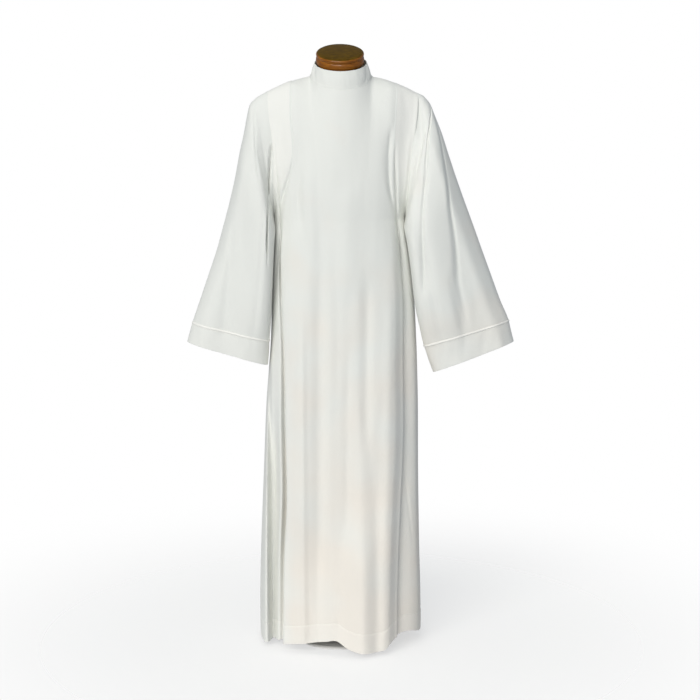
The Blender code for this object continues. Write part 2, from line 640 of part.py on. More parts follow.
def sleeve_ring(side, row, share, loop):
    """One ring of a sleeve. It takes its shape from the armhole near the shoulder and from a
    rounded flat tube further down."""
    count = len(loop)
    low, high = loop[0], loop[count // 2]
    centre = Vector(((row.out_x + row.in_x) / 2, 0, (row.out_z + row.in_z) / 2))
    half = Vector(((row.out_x - row.in_x) / 2, 0, (row.out_z - row.in_z) / 2))
    points = []
    for index in range(count):
        along, depth = ring_shape(index, count)
        depth *= row.front if depth < 0 else row.back
        depth += row.in_y * (1 - along) / 2
        hole = loop[index]
        hole_along = 2 * (hole.z - low.z) / (high.z - low.z) - 1
        along = mix(hole_along, along, row.even)
        depth = mix(hole.y + row.in_y * (1 - along) / 2, depth, row.even)
        place = 180 * (1 - 2 * index / count) if index <= count // 2 else -180 * (2 * index / count - 1)
        for fold in SLEEVE_FOLDS[side]:
            passed = (share - fold.start) / (fold.end - fold.start)
            if 0 < passed < 1:
                at = mix(fold.at_start, fold.at_end, passed)
                fade = ease(passed / SLEEVE_FOLD_START) * ease((1 - passed) / SLEEVE_FOLD_END)
                swell = fold.lift * fade * math.exp(-(((place - at) / fold.width) ** 2))
                depth += math.copysign(1, place) * -swell
        points.append(centre + half * along + Vector((0, depth, -SLEEVE_TIP[side] * row.even * depth)))
    return points


def sleeve_rings(side):
    """Every ring from the armhole to the cuff's edge. The last two bound the cuff band."""
    seam = armhole_seam(side)
    loop = [place.point for place in seam]
    rows = SLEEVES[side]
    first = []
    for place in seam:
        underarm = ease(1 - abs(place.point.y) / UNDERARM_REACH)
        first.append(place.point + place.onward * mix(SEAM, UNDERARM_SEAM, underarm))
    rings = [first]
    for k, row in enumerate(rows):
        rings.append(sleeve_ring(side, row, (k + 1) / len(rows), loop))
    rings.append(sleeve_ring(side, CUFF_ENDS[side], 1 + 1 / len(rows), loop))
    first_normals = [place.normal for place in seam]
    if side == "left":
        rings = [[ring[0]] + ring[:0:-1] for ring in rings]
        first_normals = [first_normals[0]] + first_normals[:0:-1]
    normals = grid_normals(rings, closed=True)
    normals[0] = first_normals
    return rings, normals


def offset(points, normals, distance):
    """A grid of rows moved out of the cloth by a distance."""
    return [[p + n * distance for p, n in zip(*pair)] for pair in zip(points, normals)]


def sleeve_and_cuff(side):
    """The sleeve, its cuff band and the narrow trim on the band's seam, from the same rings."""
    rings, normals = sleeve_rings(side)
    band = (rings[-1][0] - rings[-2][0]).length

    def along_band(shares):
        made = []
        for rows in (rings, normals):
            made.append([[a.lerp(b, share) for a, b in zip(rows[-2], rows[-1])] for share in shares])
        return made

    sleeve, sleeve_out = rings[:-1], normals[:-1]
    cloth_wall("sleeve_" + side, sleeve, offset(sleeve, sleeve_out, -WALL), True, (0.84, 0.85, 0.81))
    gap = SEAM / band
    cuff, cuff_out = along_band([gap] + CUFF_ROWS)
    cloth_wall("cuff_band_" + side, cuff, offset(cuff, cuff_out, -WALL), True, (0.88, 0.87, 0.83))
    trim, trim_out = along_band([gap, gap + TRIM_WIDTH / band])
    outer = offset(trim, trim_out, TRIM_LIFT + TRIM_THICKNESS)
    cloth_wall("cuff_trim_" + side, outer, offset(trim, trim_out, TRIM_LIFT), True, (0.90, 0.88, 0.84))


def collar():
    """A stand collar. Its band runs once round the neck and a little more, so that its outer
    end laps over the inner one at the wearer's left."""
    end = math.radians(COLLAR_END_ANGLE)
    begin = end - math.radians(360 + COLLAR_LAP_ANGLE)
    outer = []
    base_normals = []
    lap_start = COLLAR_END_ANGLE - COLLAR_LAP_ANGLE - COLLAR_LAP_LEAD
    for share in COLLAR_ROWS:
        row = []
        for i in range(COLLAR_COLUMNS + 1):
            angle = mix(begin, end, i / COLLAR_COLUMNS)
            low = neck_point(angle)
            on = Vector((low.x, low.y, 0)).normalized()
            in_plane = on + Vector((0, 0, NECK_TILT * on.y))
            y = COLLAR_TOP_CENTRE - COLLAR_TOP_DEPTH * math.cos(angle)
            high = Vector((COLLAR_TOP_WIDTH * math.sin(angle), y, COLLAR_TOP_HEIGHT + COLLAR_TOP_TILT * y))
            lapped = ease((math.degrees(angle) - lap_start) / COLLAR_LAP_EASE)
            low += Vector((0, 0, SEAM)) - in_plane * COLLAR_INSET
            point = low.lerp(high, share)
            point += on * (COLLAR_LAP_STEP * lapped)
            point += on * (COLLAR_SWELL * math.sin(math.pi * share))
            row.append(point)
            base_normals.append(in_plane)
        outer.append(row)
    normals = grid_normals(outer, closed=False)
    normals[0] = base_normals[:COLLAR_COLUMNS + 1]
    inner = offset(outer, normals, -WALL)
    return cloth_wall("collar_band", outer, inner, False, (0.82, 0.81, 0.76))


def form_ring(height, width, front, back, centre, tilt, power):
    """A level or tilted section of the form, round and without detail."""
    ring = []
    for i in range(FORM_COLUMNS):
        angle = 2 * math.pi * i / FORM_COLUMNS
        c, s = math.cos(angle), math.sin(angle)
        x = math.copysign(abs(c) ** (2 / power), c) * width
        depth = front if s < 0 else back
        y = math.copysign(abs(s) ** (2 / power), s) * depth
        ring.append(Vector((x, centre + y * math.cos(tilt), height + y * math.sin(tilt))))
    return ring


def torso():
    """The limbless form, from the hips to the neck, one closed body."""
    rings = [form_ring(*row, 0.0, FORM_ROUND) for row in FORM]
    for row in SHOULDERS:
        height = shoulder_height(row.width) - FORM_CLEARANCE - row.drop
        ring = form_ring(height, row.width, row.front, row.back, 0.0, 0.0, row.power)
        for point in ring:
            point.z += point.y * (row.fall if point.y < 0 else row.rise)
        rings.append(ring)
    axis = Vector((0, -math.sin(CAP_TILT), math.cos(CAP_TILT)))
    for down in NECK_DOWN:
        at = CAP_CENTRE - axis * down
        rings.append(form_ring(at.z, NECK_RADIUS, NECK_RADIUS, NECK_RADIUS, at.y, CAP_TILT, 2.0))
    bm = bmesh.new()
    rows = [[bm.verts.new(point) for point in ring] for ring in rings]
    for lower, upper in zip(rows, rows[1:]):
        for i in range(FORM_COLUMNS):
            j = (i + 1) % FORM_COLUMNS
            bm.faces.new((lower[i], lower[j], upper[j], upper[i]))
    bm.faces.new(list(reversed(rows[0])))
    bm.faces.new(rows[-1])
    return finish("form_torso", bm, (0.62, 0.55, 0.44), smooth=True)


def turned(name, profile, steps, colour, roughness, metallic):
    """A turned piece: a profile down its outer side, spun about Z with a Screw modifier."""
    bm = bmesh.new()
    corners = [bm.verts.new((radius, 0, height)) for radius, height in profile]
    for a, b in zip(corners, corners[1:]):
        bm.edges.new((a, b))
    made = finish(name, bm, colour, False, roughness, metallic)
    screw = made.modifiers.new("Turned", "SCREW")
    screw.axis = "Z"
    screw.steps = steps
    screw.render_steps = steps
    screw.use_merge_vertices = True
    screw.merge_threshold = 0.0001
    screw.use_smooth_shade = True
    return made


def neck_cap():
    """The varnished cap: a domed top, a thin lip, a groove and a deeper bead."""
    profile = [
        (0.0, 0.0030),
        (0.0300, 0.0024),
        (0.0520, 0.0006),
        (0.0582, -0.0014),
        (0.0606, -0.0050),
        (0.0600, -0.0086),
        (0.0580, -0.0106),
        (0.0590, -0.0126),
        (0.0608, -0.0170),
        (0.0612, -0.0220),
        (0.0604, -0.0270),
        (0.0580, -0.0305),
        (0.0540, -0.0335),
        (0.0, -0.0335),
    ]
    made = turned("neck_cap", profile, CAP_STEPS, (0.21, 0.09, 0.02), 0.2, 0.0)
    made.location = CAP_CENTRE
    made.rotation_euler = (CAP_TILT, 0, 0)
    return made


def pole():
    bm = bmesh.new()
    low = BASE_RISE + BOSS_HEIGHT + METAL_GAP
    length = FORM[0].height - METAL_GAP - low
    bmesh.ops.create_cone(
        bm, cap_ends=True, segments=24, radius1=POLE_RADIUS, radius2=POLE_RADIUS, depth=length,
        matrix=Matrix.Translation((0, 0, low + length / 2)),
    )
    return finish("stand_pole", bm, (0.55, 0.55, 0.56), True, 0.25, 1.0)


def base():
    """A flat cast disc with a low boss that the pole screws into."""
    boss = POLE_RADIUS + BOSS_WALL
    profile = [
        (0.0, BASE_RISE + BOSS_HEIGHT),
        (boss - 0.003, BASE_RISE + BOSS_HEIGHT),
        (boss, BASE_RISE + BOSS_HEIGHT - 0.003),
        (boss + 0.004, BASE_RISE),
        (BASE_RADIUS - 0.018, BASE_RIM + 0.003),
        (BASE_RADIUS - 0.002, BASE_RIM),
        (BASE_RADIUS, BASE_RIM - 0.002),
        (BASE_RADIUS, 0.0),
        (0.0, 0.0),
    ]
    return turned("stand_base", profile, BASE_STEPS, (0.80, 0.79, 0.76), 0.45, 0.6)


for old in list(bpy.data.objects):
    bpy.data.objects.remove(old)
robe = bpy.data.collections.new("alb_robe_on_dress_form")
bpy.context.scene.collection.children.link(robe)

panel("front")
panel("back")
for side_name in ("left", "right"):
    sleeve_and_cuff(side_name)
collar()
torso()
neck_cap()
pole()
base()
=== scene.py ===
import bisect
import math
import bmesh
import bpy
from mathutils import Matrix, Vector, noise


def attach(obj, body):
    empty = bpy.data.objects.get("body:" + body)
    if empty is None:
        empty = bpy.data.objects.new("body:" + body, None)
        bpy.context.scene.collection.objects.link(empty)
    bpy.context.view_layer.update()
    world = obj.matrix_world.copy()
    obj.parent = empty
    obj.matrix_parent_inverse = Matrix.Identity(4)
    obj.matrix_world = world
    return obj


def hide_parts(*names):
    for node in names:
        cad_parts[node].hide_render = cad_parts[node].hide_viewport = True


# An alb on a limbless dress form. Front is -Y, and left and right are the wearer's (left is +X).

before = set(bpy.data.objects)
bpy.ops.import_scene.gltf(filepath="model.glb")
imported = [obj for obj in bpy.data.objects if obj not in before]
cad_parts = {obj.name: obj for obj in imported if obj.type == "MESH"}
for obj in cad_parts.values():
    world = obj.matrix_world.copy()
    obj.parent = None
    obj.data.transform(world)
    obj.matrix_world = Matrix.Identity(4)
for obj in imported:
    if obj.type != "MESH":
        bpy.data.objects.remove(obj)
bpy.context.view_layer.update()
scene = bpy.context.scene
print("frame loaded")


def toLinear(hexText):
    channels = [int(hexText[i:i + 2], 16) / 255 for i in (1, 3, 5)]
    return [c / 12.92 if c <= 0.04045 else ((c + 0.055) / 1.055) ** 2.4 for c in channels] + [1.0]


def setInputs(tree, node, inputs):
    # a socket is linked, and anything else is set as the value
    for name, value in inputs.items():
        if isinstance(value, bpy.types.NodeSocket):
            tree.links.new(value, node.inputs[name])
        else:
            node.inputs[name].default_value = value


def addNode(tree, kind, inputs, output=0, stops=(), **settings):
    # adds a node with its settings, values, links and any colour stops, and hands back an output
    node = tree.nodes.new("ShaderNode" + kind)
    for name, value in settings.items():
        setattr(node, name, value)
    for k, (position, hexText) in enumerate(stops):
        node.color_ramp.elements[k].position = position
        node.color_ramp.elements[k].color = toLinear(hexText)
    setInputs(tree, node, inputs)
    return node.outputs[output] if node.outputs else node


def mix(a, b, share):
    return a + (b - a) * share


def ease(share):
    share = min(max(share, 0.0), 1.0)
    return share * share * (3 - 2 * share)


def ramp(value, start, span):
    # 0 at the start and 1 a span further on, and a span below 0 runs downwards
    return ease((value - start) / span)


def smoothValue(table, keyName, key, column):
    # a smooth curve through a column of a table
    keys, values = table[keyName], table[column]
    if key <= keys[0]:
        return values[0]
    if key >= keys[-1]:
        return values[-1]
    last = bisect.bisect_right(keys, key) - 1
    before, after = max(last - 1, 0), min(last + 2, len(keys) - 1)
    span = keys[last + 1] - keys[last]
    share = (key - keys[last]) / span
    slopeA = (values[last + 1] - values[before]) / (keys[last + 1] - keys[before]) * span
    slopeB = (values[after] - values[last]) / (keys[after] - keys[last]) * span
    return (values[last] * (1 + 2 * share) * (1 - share) ** 2 + slopeA * share * (1 - share) ** 2
            + values[last + 1] * share * share * (3 - 2 * share) - slopeB * share * share * (1 - share))


body = {
    "thickness": 0.0006,      # poplin, finished
    "underarm": 1.120,
    "neckSide": 1.477,
    "shoulderLean": 0.20,
    "shoulderCurve": 1.42,
    "chestRound": (2.0, 2.6),
    "sideRound": (2.4, 2.2),
    "armholeDepth": {"front": 0.074, "back": 0.078},
    "armholeRise": 0.45,
    "armholeBlunt": 0.55,
    "armholeScoop": 1.3,
    "neckWidth": 0.079,
    "neckDepth": {"front": 0.085, "back": 0.060},
    "neckTilt": 0.35,
    "neckCorner": 0.47,
    "neckFan": 1.25,
    "seamDip": {"right": 0.006, "left": 0.005},      # the armhole's lower front hides in a fold
    "hemFade": 0.25,
    "hemDeep": 0.053,         # the turned-up hem
    "columns": {"front": (132, 32), "back": (84, 24)},     # between the pleats, and beside each
    "turnSteps": 6,
    "lapSteps": 3,
    "relaxReach": 16,
    "relaxSteps": 60,
    "relaxSoft": 0.7,         # the share of the reach over which it fades out
    "relaxPull": 0.8,
    "cornerPlaces": (2 / 14, 12 / 14),      # the neck's corners as shares of the middle's columns
    "relaxZones": ((1.10, 0.25), (2.0, -0.05)),
    # zones are (start, span), in shares of the half width or in levels
    "chestZone": (0.38, 0.40),
    "climbZone": (0.45, 0.55),
    "edgeZone": (0.45, 0.35),
    "dipZones": ((0.945, 0.05), (1, 0.10), (1.62, -0.30)),
    "edgeCalm": (1, -0.05),
    "depthPower": 8,
    "flatTurn": 150,          # a pleat turned this far lies flat
    "probe": 0.8,             # the share at which a row's height is read
    # the heights in which folds turn from straight forward to off the cloth
    "offChest": (1.15, 0.15),
    "ripple": 0.0011,
    "proudReach": {"right": 0.2, "left": 0.10},
    "sinkReach": {"right": 0.20, "left": 0.75},
    "stripPower": 1.25,       # the columns beside a pleat crowd towards the seam
    "rows": (0.075, 0.0102, 102),           # the plain rows' first height, step and number
    "rowsEnd": 1.115,
    "stitchedBelow": 0.08,
    "stitchPull": (0.0005, 0.0020),         # in at the stitches, and how wide
    "doubleLift": (0.0004, 0.003),          # out where the hem lies double, and over what height
    "turnGap": 2.5,           # from the cloth to its turned-up hem, in thicknesses
    "hemDrop": 0.0007,
    "tint": {"hem": 0.15, "band": 0.45},
    "bandZone": (1.15, 0.2),
}
pleatColumns = 2 * body["turnSteps"] + body["lapSteps"] + 1
foldedEdge = ((0.86, 0.6), (0.5, 1.0), (0.14, 0.6))     # a turned edge: share of its depth, and drop

skirt = {
    "height": [0.0, 0.1, 0.25, 0.45, 0.63, 0.72, 0.8, 0.93, 1.04, 1.12],
    "right": [0.214, 0.215, 0.2115, 0.203, 0.195, 0.188, 0.182, 0.1785, 0.175, 0.1715],
    "left": [0.2112, 0.2105, 0.2065, 0.2025, 0.2008, 0.1985, 0.1955, 0.188, 0.175, 0.164],
    "front": [0.176, 0.172, 0.163, 0.151, 0.142, 0.138, 0.134, 0.129, 0.124, 0.12],
    "back": [0.17, 0.168, 0.16, 0.149, 0.141, 0.137, 0.134, 0.127, 0.121, 0.117],
}
armhole = {
    "height": [1.12, 1.2, 1.29, 1.34, 1.38, 1.44],
    "right": [0.1715, 0.1705, 0.17, 0.1752, 0.181, 0.185],
    "left": [0.164, 0.1712, 0.179, 0.186, 0.1908, 0.195],
}
chestKnots = [1.0, 1.035, 1.08, 1.15, 1.23, 1.32, 1.41, 1.50, 1.58, 1.66, 1.74, 1.83, 1.92, 2.0]
chestFine = 5                 # a panel's rows to each stretch between the knots

# turn is how far the cloth turns over in the pleat: +180 lays the side over the middle, -180 the
# middle over the side. first and second are the radii of its two turns from the side seam inwards.
pleats = {
    "height": [0.0, 0.23, 0.4, 0.56, 0.78, 0.92, 1.04, 1.12, 1.16, 1.2, 1.24, 1.28, 1.32, 1.36, 1.45],
    "right": [0.1505, 0.147, 0.139, 0.141, 0.144, 0.1505, 0.153, 0.152, 0.149, 0.14, 0.127, 0.119, 0.12,
        0.124, 0.128],
    "left": [0.146, 0.148, 0.1545, 0.1605, 0.159, 0.158, 0.149, 0.1425, 0.1395, 0.137, 0.1345, 0.1325,
        0.133, 0.136, 0.144],
    "rightTurn": [-180, -180, -180, -180, -180, -170, -120, -50, 0, 15, 24, 30, 32, 32, 32],
    "leftTurn": [-180, -180, -180, -180, -180, -175, -140, -60, -10, 6, 10, 12, 13, 13, 13],
    "first": [0.0024] * 5 + [0.0022, 0.0018, 0.001, 0.0007, 0.0005, 0.0005] + [0.0004] * 4,
    "second": [0.003] * 4 + [0.0028, 0.0026, 0.002, 0.001, 0.0007, 0.0005, 0.0005] + [0.0004] * 4,
    "lap": [0.02, 0.02, 0.018, 0.018, 0.016, 0.013, 0.006, 0.002] + [0.001] * 7,
    "rightProud": [0.002, 0.002, 0.002, 0.002, 0.002, 0.002, 0.0015, 0.001, 0.0006, 0.0002] + [0.0] * 5,
    "leftProud": [-0.011, -0.012, -0.012, -0.012, -0.012, -0.01, -0.006, -0.002] + [0.0] * 7,
    "rightSink": [0.03, 0.028, 0.024, 0.017, 0.009, 0.005, 0.002] + [0.0] * 8,
    "leftSink": [0.005, 0.005, 0.005, 0.005, 0.005, 0.004, 0.002, 0.001] + [0.0] * 7,
}

# soft folds: top, bottom, x at the top, x at the bottom, width, lift, lean.
# lean above 0 makes the fold steeper on the wearer's right, below 0 on the left.
folds = {
    "front": [
        (1.05, -0.6, 0.0, 0.006, 0.07, -0.012, 0.0),
        (1.02, -0.1, -0.1, -0.096, 0.016, 0.007, -0.35),
        (1.22, 0.02, -0.05, -0.058, 0.02, -0.01, 0.0),
        (0.78, -0.2, 0.05, 0.056, 0.018, 0.0045, 0.0),
        (1.02, 0.55, 0.066, 0.064, 0.015, -0.007, 0.0),
        (0.55, -0.2, 0.09, 0.094, 0.016, -0.005, 0.0),
        (1.15, -0.2, 0.13, 0.114, 0.017, 0.006, 0.0),
        (0.42, -0.3, 0.06, 0.058, 0.06, 0.025, 0.0),
        (0.42, -0.3, -0.086, -0.086, 0.066, -0.019, 0.0),
        (0.95, -0.1, -0.187, -0.199, 0.011, 0.024, 0.0),
        (0.95, -0.1, -0.187, -0.18, 0.005, -0.015, 0.0),
        (0.7, -0.3, -0.172, -0.173, 0.012, -0.04, 0.0),
        (0.95, -0.1, 0.206, 0.214, 0.014, 0.012, 0.0),
        # finer ones
        (1.33, 1.1, -0.104, -0.11, 0.009, -0.005, 0.0),
        (1.3, 1.05, -0.075, -0.072, 0.012, 0.003, 0.0),
        (1.25, 0.95, 0.01, 0.02, 0.03, 0.005, 0.0),
        (0.4, 0.0, 0.0, -0.006, 0.016, -0.004, 0.0),
        (1.1, 0.7, -0.014, -0.01, 0.012, -0.0018, 0.0),
        (0.85, 0.25, 0.018, 0.014, 0.01, -0.0024, 0.0),
    ],
    "back": [
        (1.2, 0.0, -0.052, -0.07, 0.028, -0.009, 0.0),
        (1.16, 0.0, 0.01, -0.006, 0.036, 0.008, 0.0),
        (1.18, 0.0, 0.07, 0.084, 0.026, -0.0085, 0.0),
        (0.5, -0.3, -0.04, -0.036, 0.06, 0.018, 0.0),
        (0.4, -0.3, 0.09, 0.094, 0.05, 0.012, 0.0),
        (0.65, -0.1, 0.176, 0.182, 0.016, -0.009, 0.0),
        (0.6, -0.1, -0.178, -0.184, 0.016, -0.008, 0.0),
        # finer ones
        (0.95, 0.05, -0.104, -0.11, 0.012, -0.003, 0.4),
        (1.05, 0.2, 0.036, 0.03, 0.012, -0.0026, -0.4),
        (0.9, 0.1, 0.118, 0.122, 0.013, 0.003, 0.0),
        (1.32, 1.08, -0.098, -0.09, 0.014, 0.0026, 0.0),
        (1.3, 1.02, 0.092, 0.086, 0.013, 0.0024, 0.0),
    ],
}

# sharper creases: heights from the bottom up, x at each, width, lift, and how much the cloth on the
# wearer's left of it stands higher, dying out over a reach
creases = {
    "front": [
        ((1.06, 1.092, 1.134, 1.177, 1.219, 1.262), (-0.156, -0.1556, -0.1529, -0.1486, -0.1355, -0.117),
            0.0055, -0.0065, -0.003, 0.026),
        ((0.9, 1.001, 1.064, 1.134, 1.18, 1.254, 1.312), (-0.172, -0.1625, -0.1574, -0.1554, -0.1576,
            -0.163, -0.17), 0.0034, -0.0075, 0.003, 0.01),
        ((1.08, 1.111, 1.153, 1.208, 1.26), (-0.098, -0.099, -0.1034, -0.1064, -0.109), 0.0085, -0.0038, 0,
            1),
        ((1.12, 1.157, 1.185, 1.228, 1.275, 1.35), (0.14, 0.132, 0.1234, 0.1203, 0.121, 0.1273), 0.006,
            -0.008, 0.0, 1),
        ((0.917, 0.966, 1.014, 1.057, 1.113, 1.174, 1.245, 1.33), (0.158, 0.1572, 0.1527, 0.1474, 0.1425,
            0.1413, 0.139, 0.136), 0.004, -0.0085, 0, 1),
        ((0.25, 0.28, 0.365, 0.462, 0.52), (0.189, 0.1867, 0.1767, 0.164, 0.16), 0.003, -0.0016, 0, 1),
    ],
    "back": [
        ((1.06, 1.11, 1.17, 1.23, 1.29), (-0.138, -0.137, -0.13, -0.12, -0.108), 0.0045, -0.003, 0, 1),
        ((1.05, 1.1, 1.16, 1.22, 1.27), (0.14, 0.138, 0.132, 0.124, 0.118), 0.0045, -0.003, 0, 1),
        ((0.12, 0.3, 0.5, 0.7), (0.108, 0.111, 0.109, 0.11), 0.006, -0.002, -0.002, 0.02),
        ((0.15, 0.28, 0.45, 0.62), (-0.096, -0.094, -0.096, -0.098), 0.0055, -0.0018, 0.0018, 0.02),
    ],
}

foldFade = {"top": (0, 0.30), "bottom": (1.15, -0.35), "crease": 0.3, "stepSharp": 1.6}

hem = {
    "x": [-0.215, -0.15, -0.08, -0.04, -0.012, 0.018, 0.064, 0.11, 0.135, 0.16, 0.187, 0.212],
    "front": [0.011, 0.019, 0.027, 0.033, 0.038, 0.021, 0.013, 0.015, 0.033, 0.043, 0.042, 0.028],
    "back": [0.016, 0.022, 0.028, 0.026, 0.024, 0.022, 0.026, 0.03, 0.027, 0.027, 0.028, 0.03],
}

facing = {"front": -1, "back": 1}
seamGap = 0.0004


def sideOf(share):
    return "right" if share < 0 else "left"


def superellipse(share, power, root):
    return max(0.0, 1 - min(abs(share), 1.0) ** power) ** (1 / root)


def shoulderHeight(x):
    out = max(abs(x) - body["neckWidth"], 0.0)
    return body["neckSide"] - body["shoulderLean"] * out - body["shoulderCurve"] * out * out


def neckPoint(angle):
    depth = body["neckDepth"]["front" if math.cos(angle) > 0 else "back"]
    y = -depth * math.cos(angle)
    return Vector((body["neckWidth"] * math.sin(angle), y, body["neckSide"] + body["neckTilt"] * y))


def topPoint(face, share):
    outward, corner = abs(share), body["neckCorner"]
    if outward >= corner:
        reach = (outward - corner) / (1 - corner)
        x = math.copysign(mix(body["neckWidth"], armhole[sideOf(share)][-1], reach), share)
        return Vector((x, 0.0, shoulderHeight(x)))
    turn = math.copysign((outward / corner) ** body["neckFan"], share) * math.pi / 2
    return neckPoint(turn if face == "front" else math.pi - turn)


def panelPoint(face, share, level):
    # level is 0 at the hem, 1 at the underarm and 2 at the panel's top
    out, outward = facing[face], abs(share)
    seam, side = out * seamGap / 2, sideOf(share)
    if level <= 1:
        height = level * body["underarm"]
        half = smoothValue(skirt, "height", height, side)
        depth = smoothValue(skirt, "height", height, face) * superellipse(share, *body["sideRound"])
        lift = smoothValue(hem, "x", share * half, face) * max(0.0, 1 - height / body["hemFade"])
        return Vector((share * half, out * depth + seam, height + lift))
    top = topPoint(face, share)
    start = skirt[face][-1] * superellipse(share, *body["sideRound"])
    end = min(abs(top.y), start)
    roundPower = mix(*body["chestRound"], ramp(outward, *body["chestZone"]))
    lastAngle = math.acos((end / start) ** (roundPower / 2)) if end > 0 else math.pi / 2
    angle = (level - 1) * lastAngle
    climb = mix(2 / roundPower, body["armholeScoop"], ramp(outward, *body["climbZone"]))
    climbed = (math.sin(angle) / math.sin(lastAngle)) ** climb
    height = body["underarm"] + (top.z - body["underarm"]) * climbed
    rise = math.sin(min((level - 1) / body["armholeRise"], 1.0) * math.pi / 2) ** body["armholeBlunt"]
    edge = body["armholeDepth"][face] * rise * ramp(outward, *body["edgeZone"])
    power = body["depthPower"]
    depth = (start ** power + edge ** power) ** (1 / power)
    depth = depth * max(math.cos(angle), 0.0) ** (2 / roundPower)
    wide = share * smoothValue(armhole, "height", height, side)
    dip = body["seamDip"][side]
    for place, zone in zip((outward, level, level), body["dipZones"]):
        dip *= ramp(place, *zone)
    return Vector((mix(wide, top.x, (level - 1) ** 4), out * max(depth - dip, 0.0) + seam, height))


def panelNormal(face, share, level):
    step = 0.004
    low, high = max(level - step, 0.0), min(level + step, 2.0)
    left, right = max(share - step, -1.0), min(share + step, 1.0)
    up = panelPoint(face, share, high) - panelPoint(face, share, low)
    across = panelPoint(face, right, level) - panelPoint(face, left, level)
    return (across.cross(up) * -facing[face]).normalized()


def pleatProfile(height, side):
    # the pleat's section as (across, out), starting on the side seam's side
    value = {name: smoothValue(pleats, "height", height, name)
             for name in ("first", "second", "lap", side + "Turn", side + "Sink")}
    turn, lap = math.radians(value[side + "Turn"]), value["lap"] / body["lapSteps"]
    across, out, steps = 0.0, 0.0, body["turnSteps"]
    points = [(across, out)]
    for radius in ("first", "second"):
        bend = value[radius] * math.pi / steps
        for step in range(steps):
            share = (step + 0.5) / steps
            heading = turn * share if radius == "first" else turn * (1 - share)
            across += bend * math.cos(heading)
            out -= bend * math.sin(heading)
            points.append((across, out))
        for part in range(body["lapSteps"] if radius == "first" else 0):
            across += lap * math.cos(turn)
            out -= lap * math.sin(turn)
            points.append((across, out))
    middle = (points[0][0] + points[-1][0]) / 2
    reach = abs(across) / 2 + value["second" if turn < 0 else "first"]
    shift = ease(abs(turn) / math.radians(body["flatTurn"])) * math.copysign(1, -turn) * reach
    # the inner layer sinks behind the side of the cloth
    sink, hidden = value[side + "Sink"], len(points) - steps - 1
    return [(a - middle + shift, o - points[-1][1] - sink * max(0.0, 1 - i / hidden))
            for i, (a, o) in enumerate(points)]


def foldLift(face, x, height):
    lift = 0.0
    for top, bottom, xTop, xBottom, width, high, lean in folds[face]:
        along = (top - height) / (top - bottom)
        if along <= 0:
            continue
        fade = ramp(along, *foldFade["top"]) * ramp(along, *foldFade["bottom"])
        away = x - mix(xTop, xBottom, min(along, 1.0))
        spread = width * (1 + lean if away > 0 else 1 - lean)
        lift += high * fade * math.exp(-((away / spread) ** 2))
    for heights, places, width, high, step, reach in creases[face]:
        if heights[0] < height < heights[-1]:
            long, end = heights[-1] - heights[0], foldFade["crease"]
            fade = ease((height - heights[0]) / long / end) * ease((heights[-1] - height) / long / end)
            away = x - smoothValue((heights, places), 0, height, 1)
            lift += creaseShape(away, width, high, step, reach) * fade
    return lift


def creaseShape(away, width, high, step, reach):
    # a pinched line, with the cloth beyond it standing higher or lower
    lift = high * math.exp(-((away / width) ** 2))
    beyond = 0.5 + 0.5 * math.tanh(away / width * foldFade["stepSharp"])
    return lift + step * beyond * math.exp(-((max(away, 0) / reach) ** 2))


def middleShares(count, level, right, left):
    shares = []
    for i in range(count):
        along = (i + 1) / (count + 1)
        even = mix(right, left, along)
        if level <= 1:
            shares.append(even)
            continue
        place = along * 14 - 1        # -1 at the right pleat, 1 to 11 round the neck, 13 at the left one
        corner = body["neckCorner"]
        if place < 1:
            top = mix(right, -corner, (place + 1) / 2)
        elif place > 11:
            top = mix(corner, left, (place - 11) / 2)
        else:
            turn = (place - 6) / 5
            top = math.copysign(abs(turn) ** (1 / body["neckFan"]), turn) * corner
        shares.append(mix(even, top, ease(level - 1)))
    return shares


ripples = ((1.0, (22, 9, 5)), (0.4, (60, 30, 14)))      # share of the size, waves to a metre on each axis


def clothRipple(x, y, z, size):
    # the slight unevenness of pressed cloth, drawn out along its fall
    return sum(share * size * noise.noise(Vector((x * a, y * b, z * c))) for share, (a, b, c) in ripples)


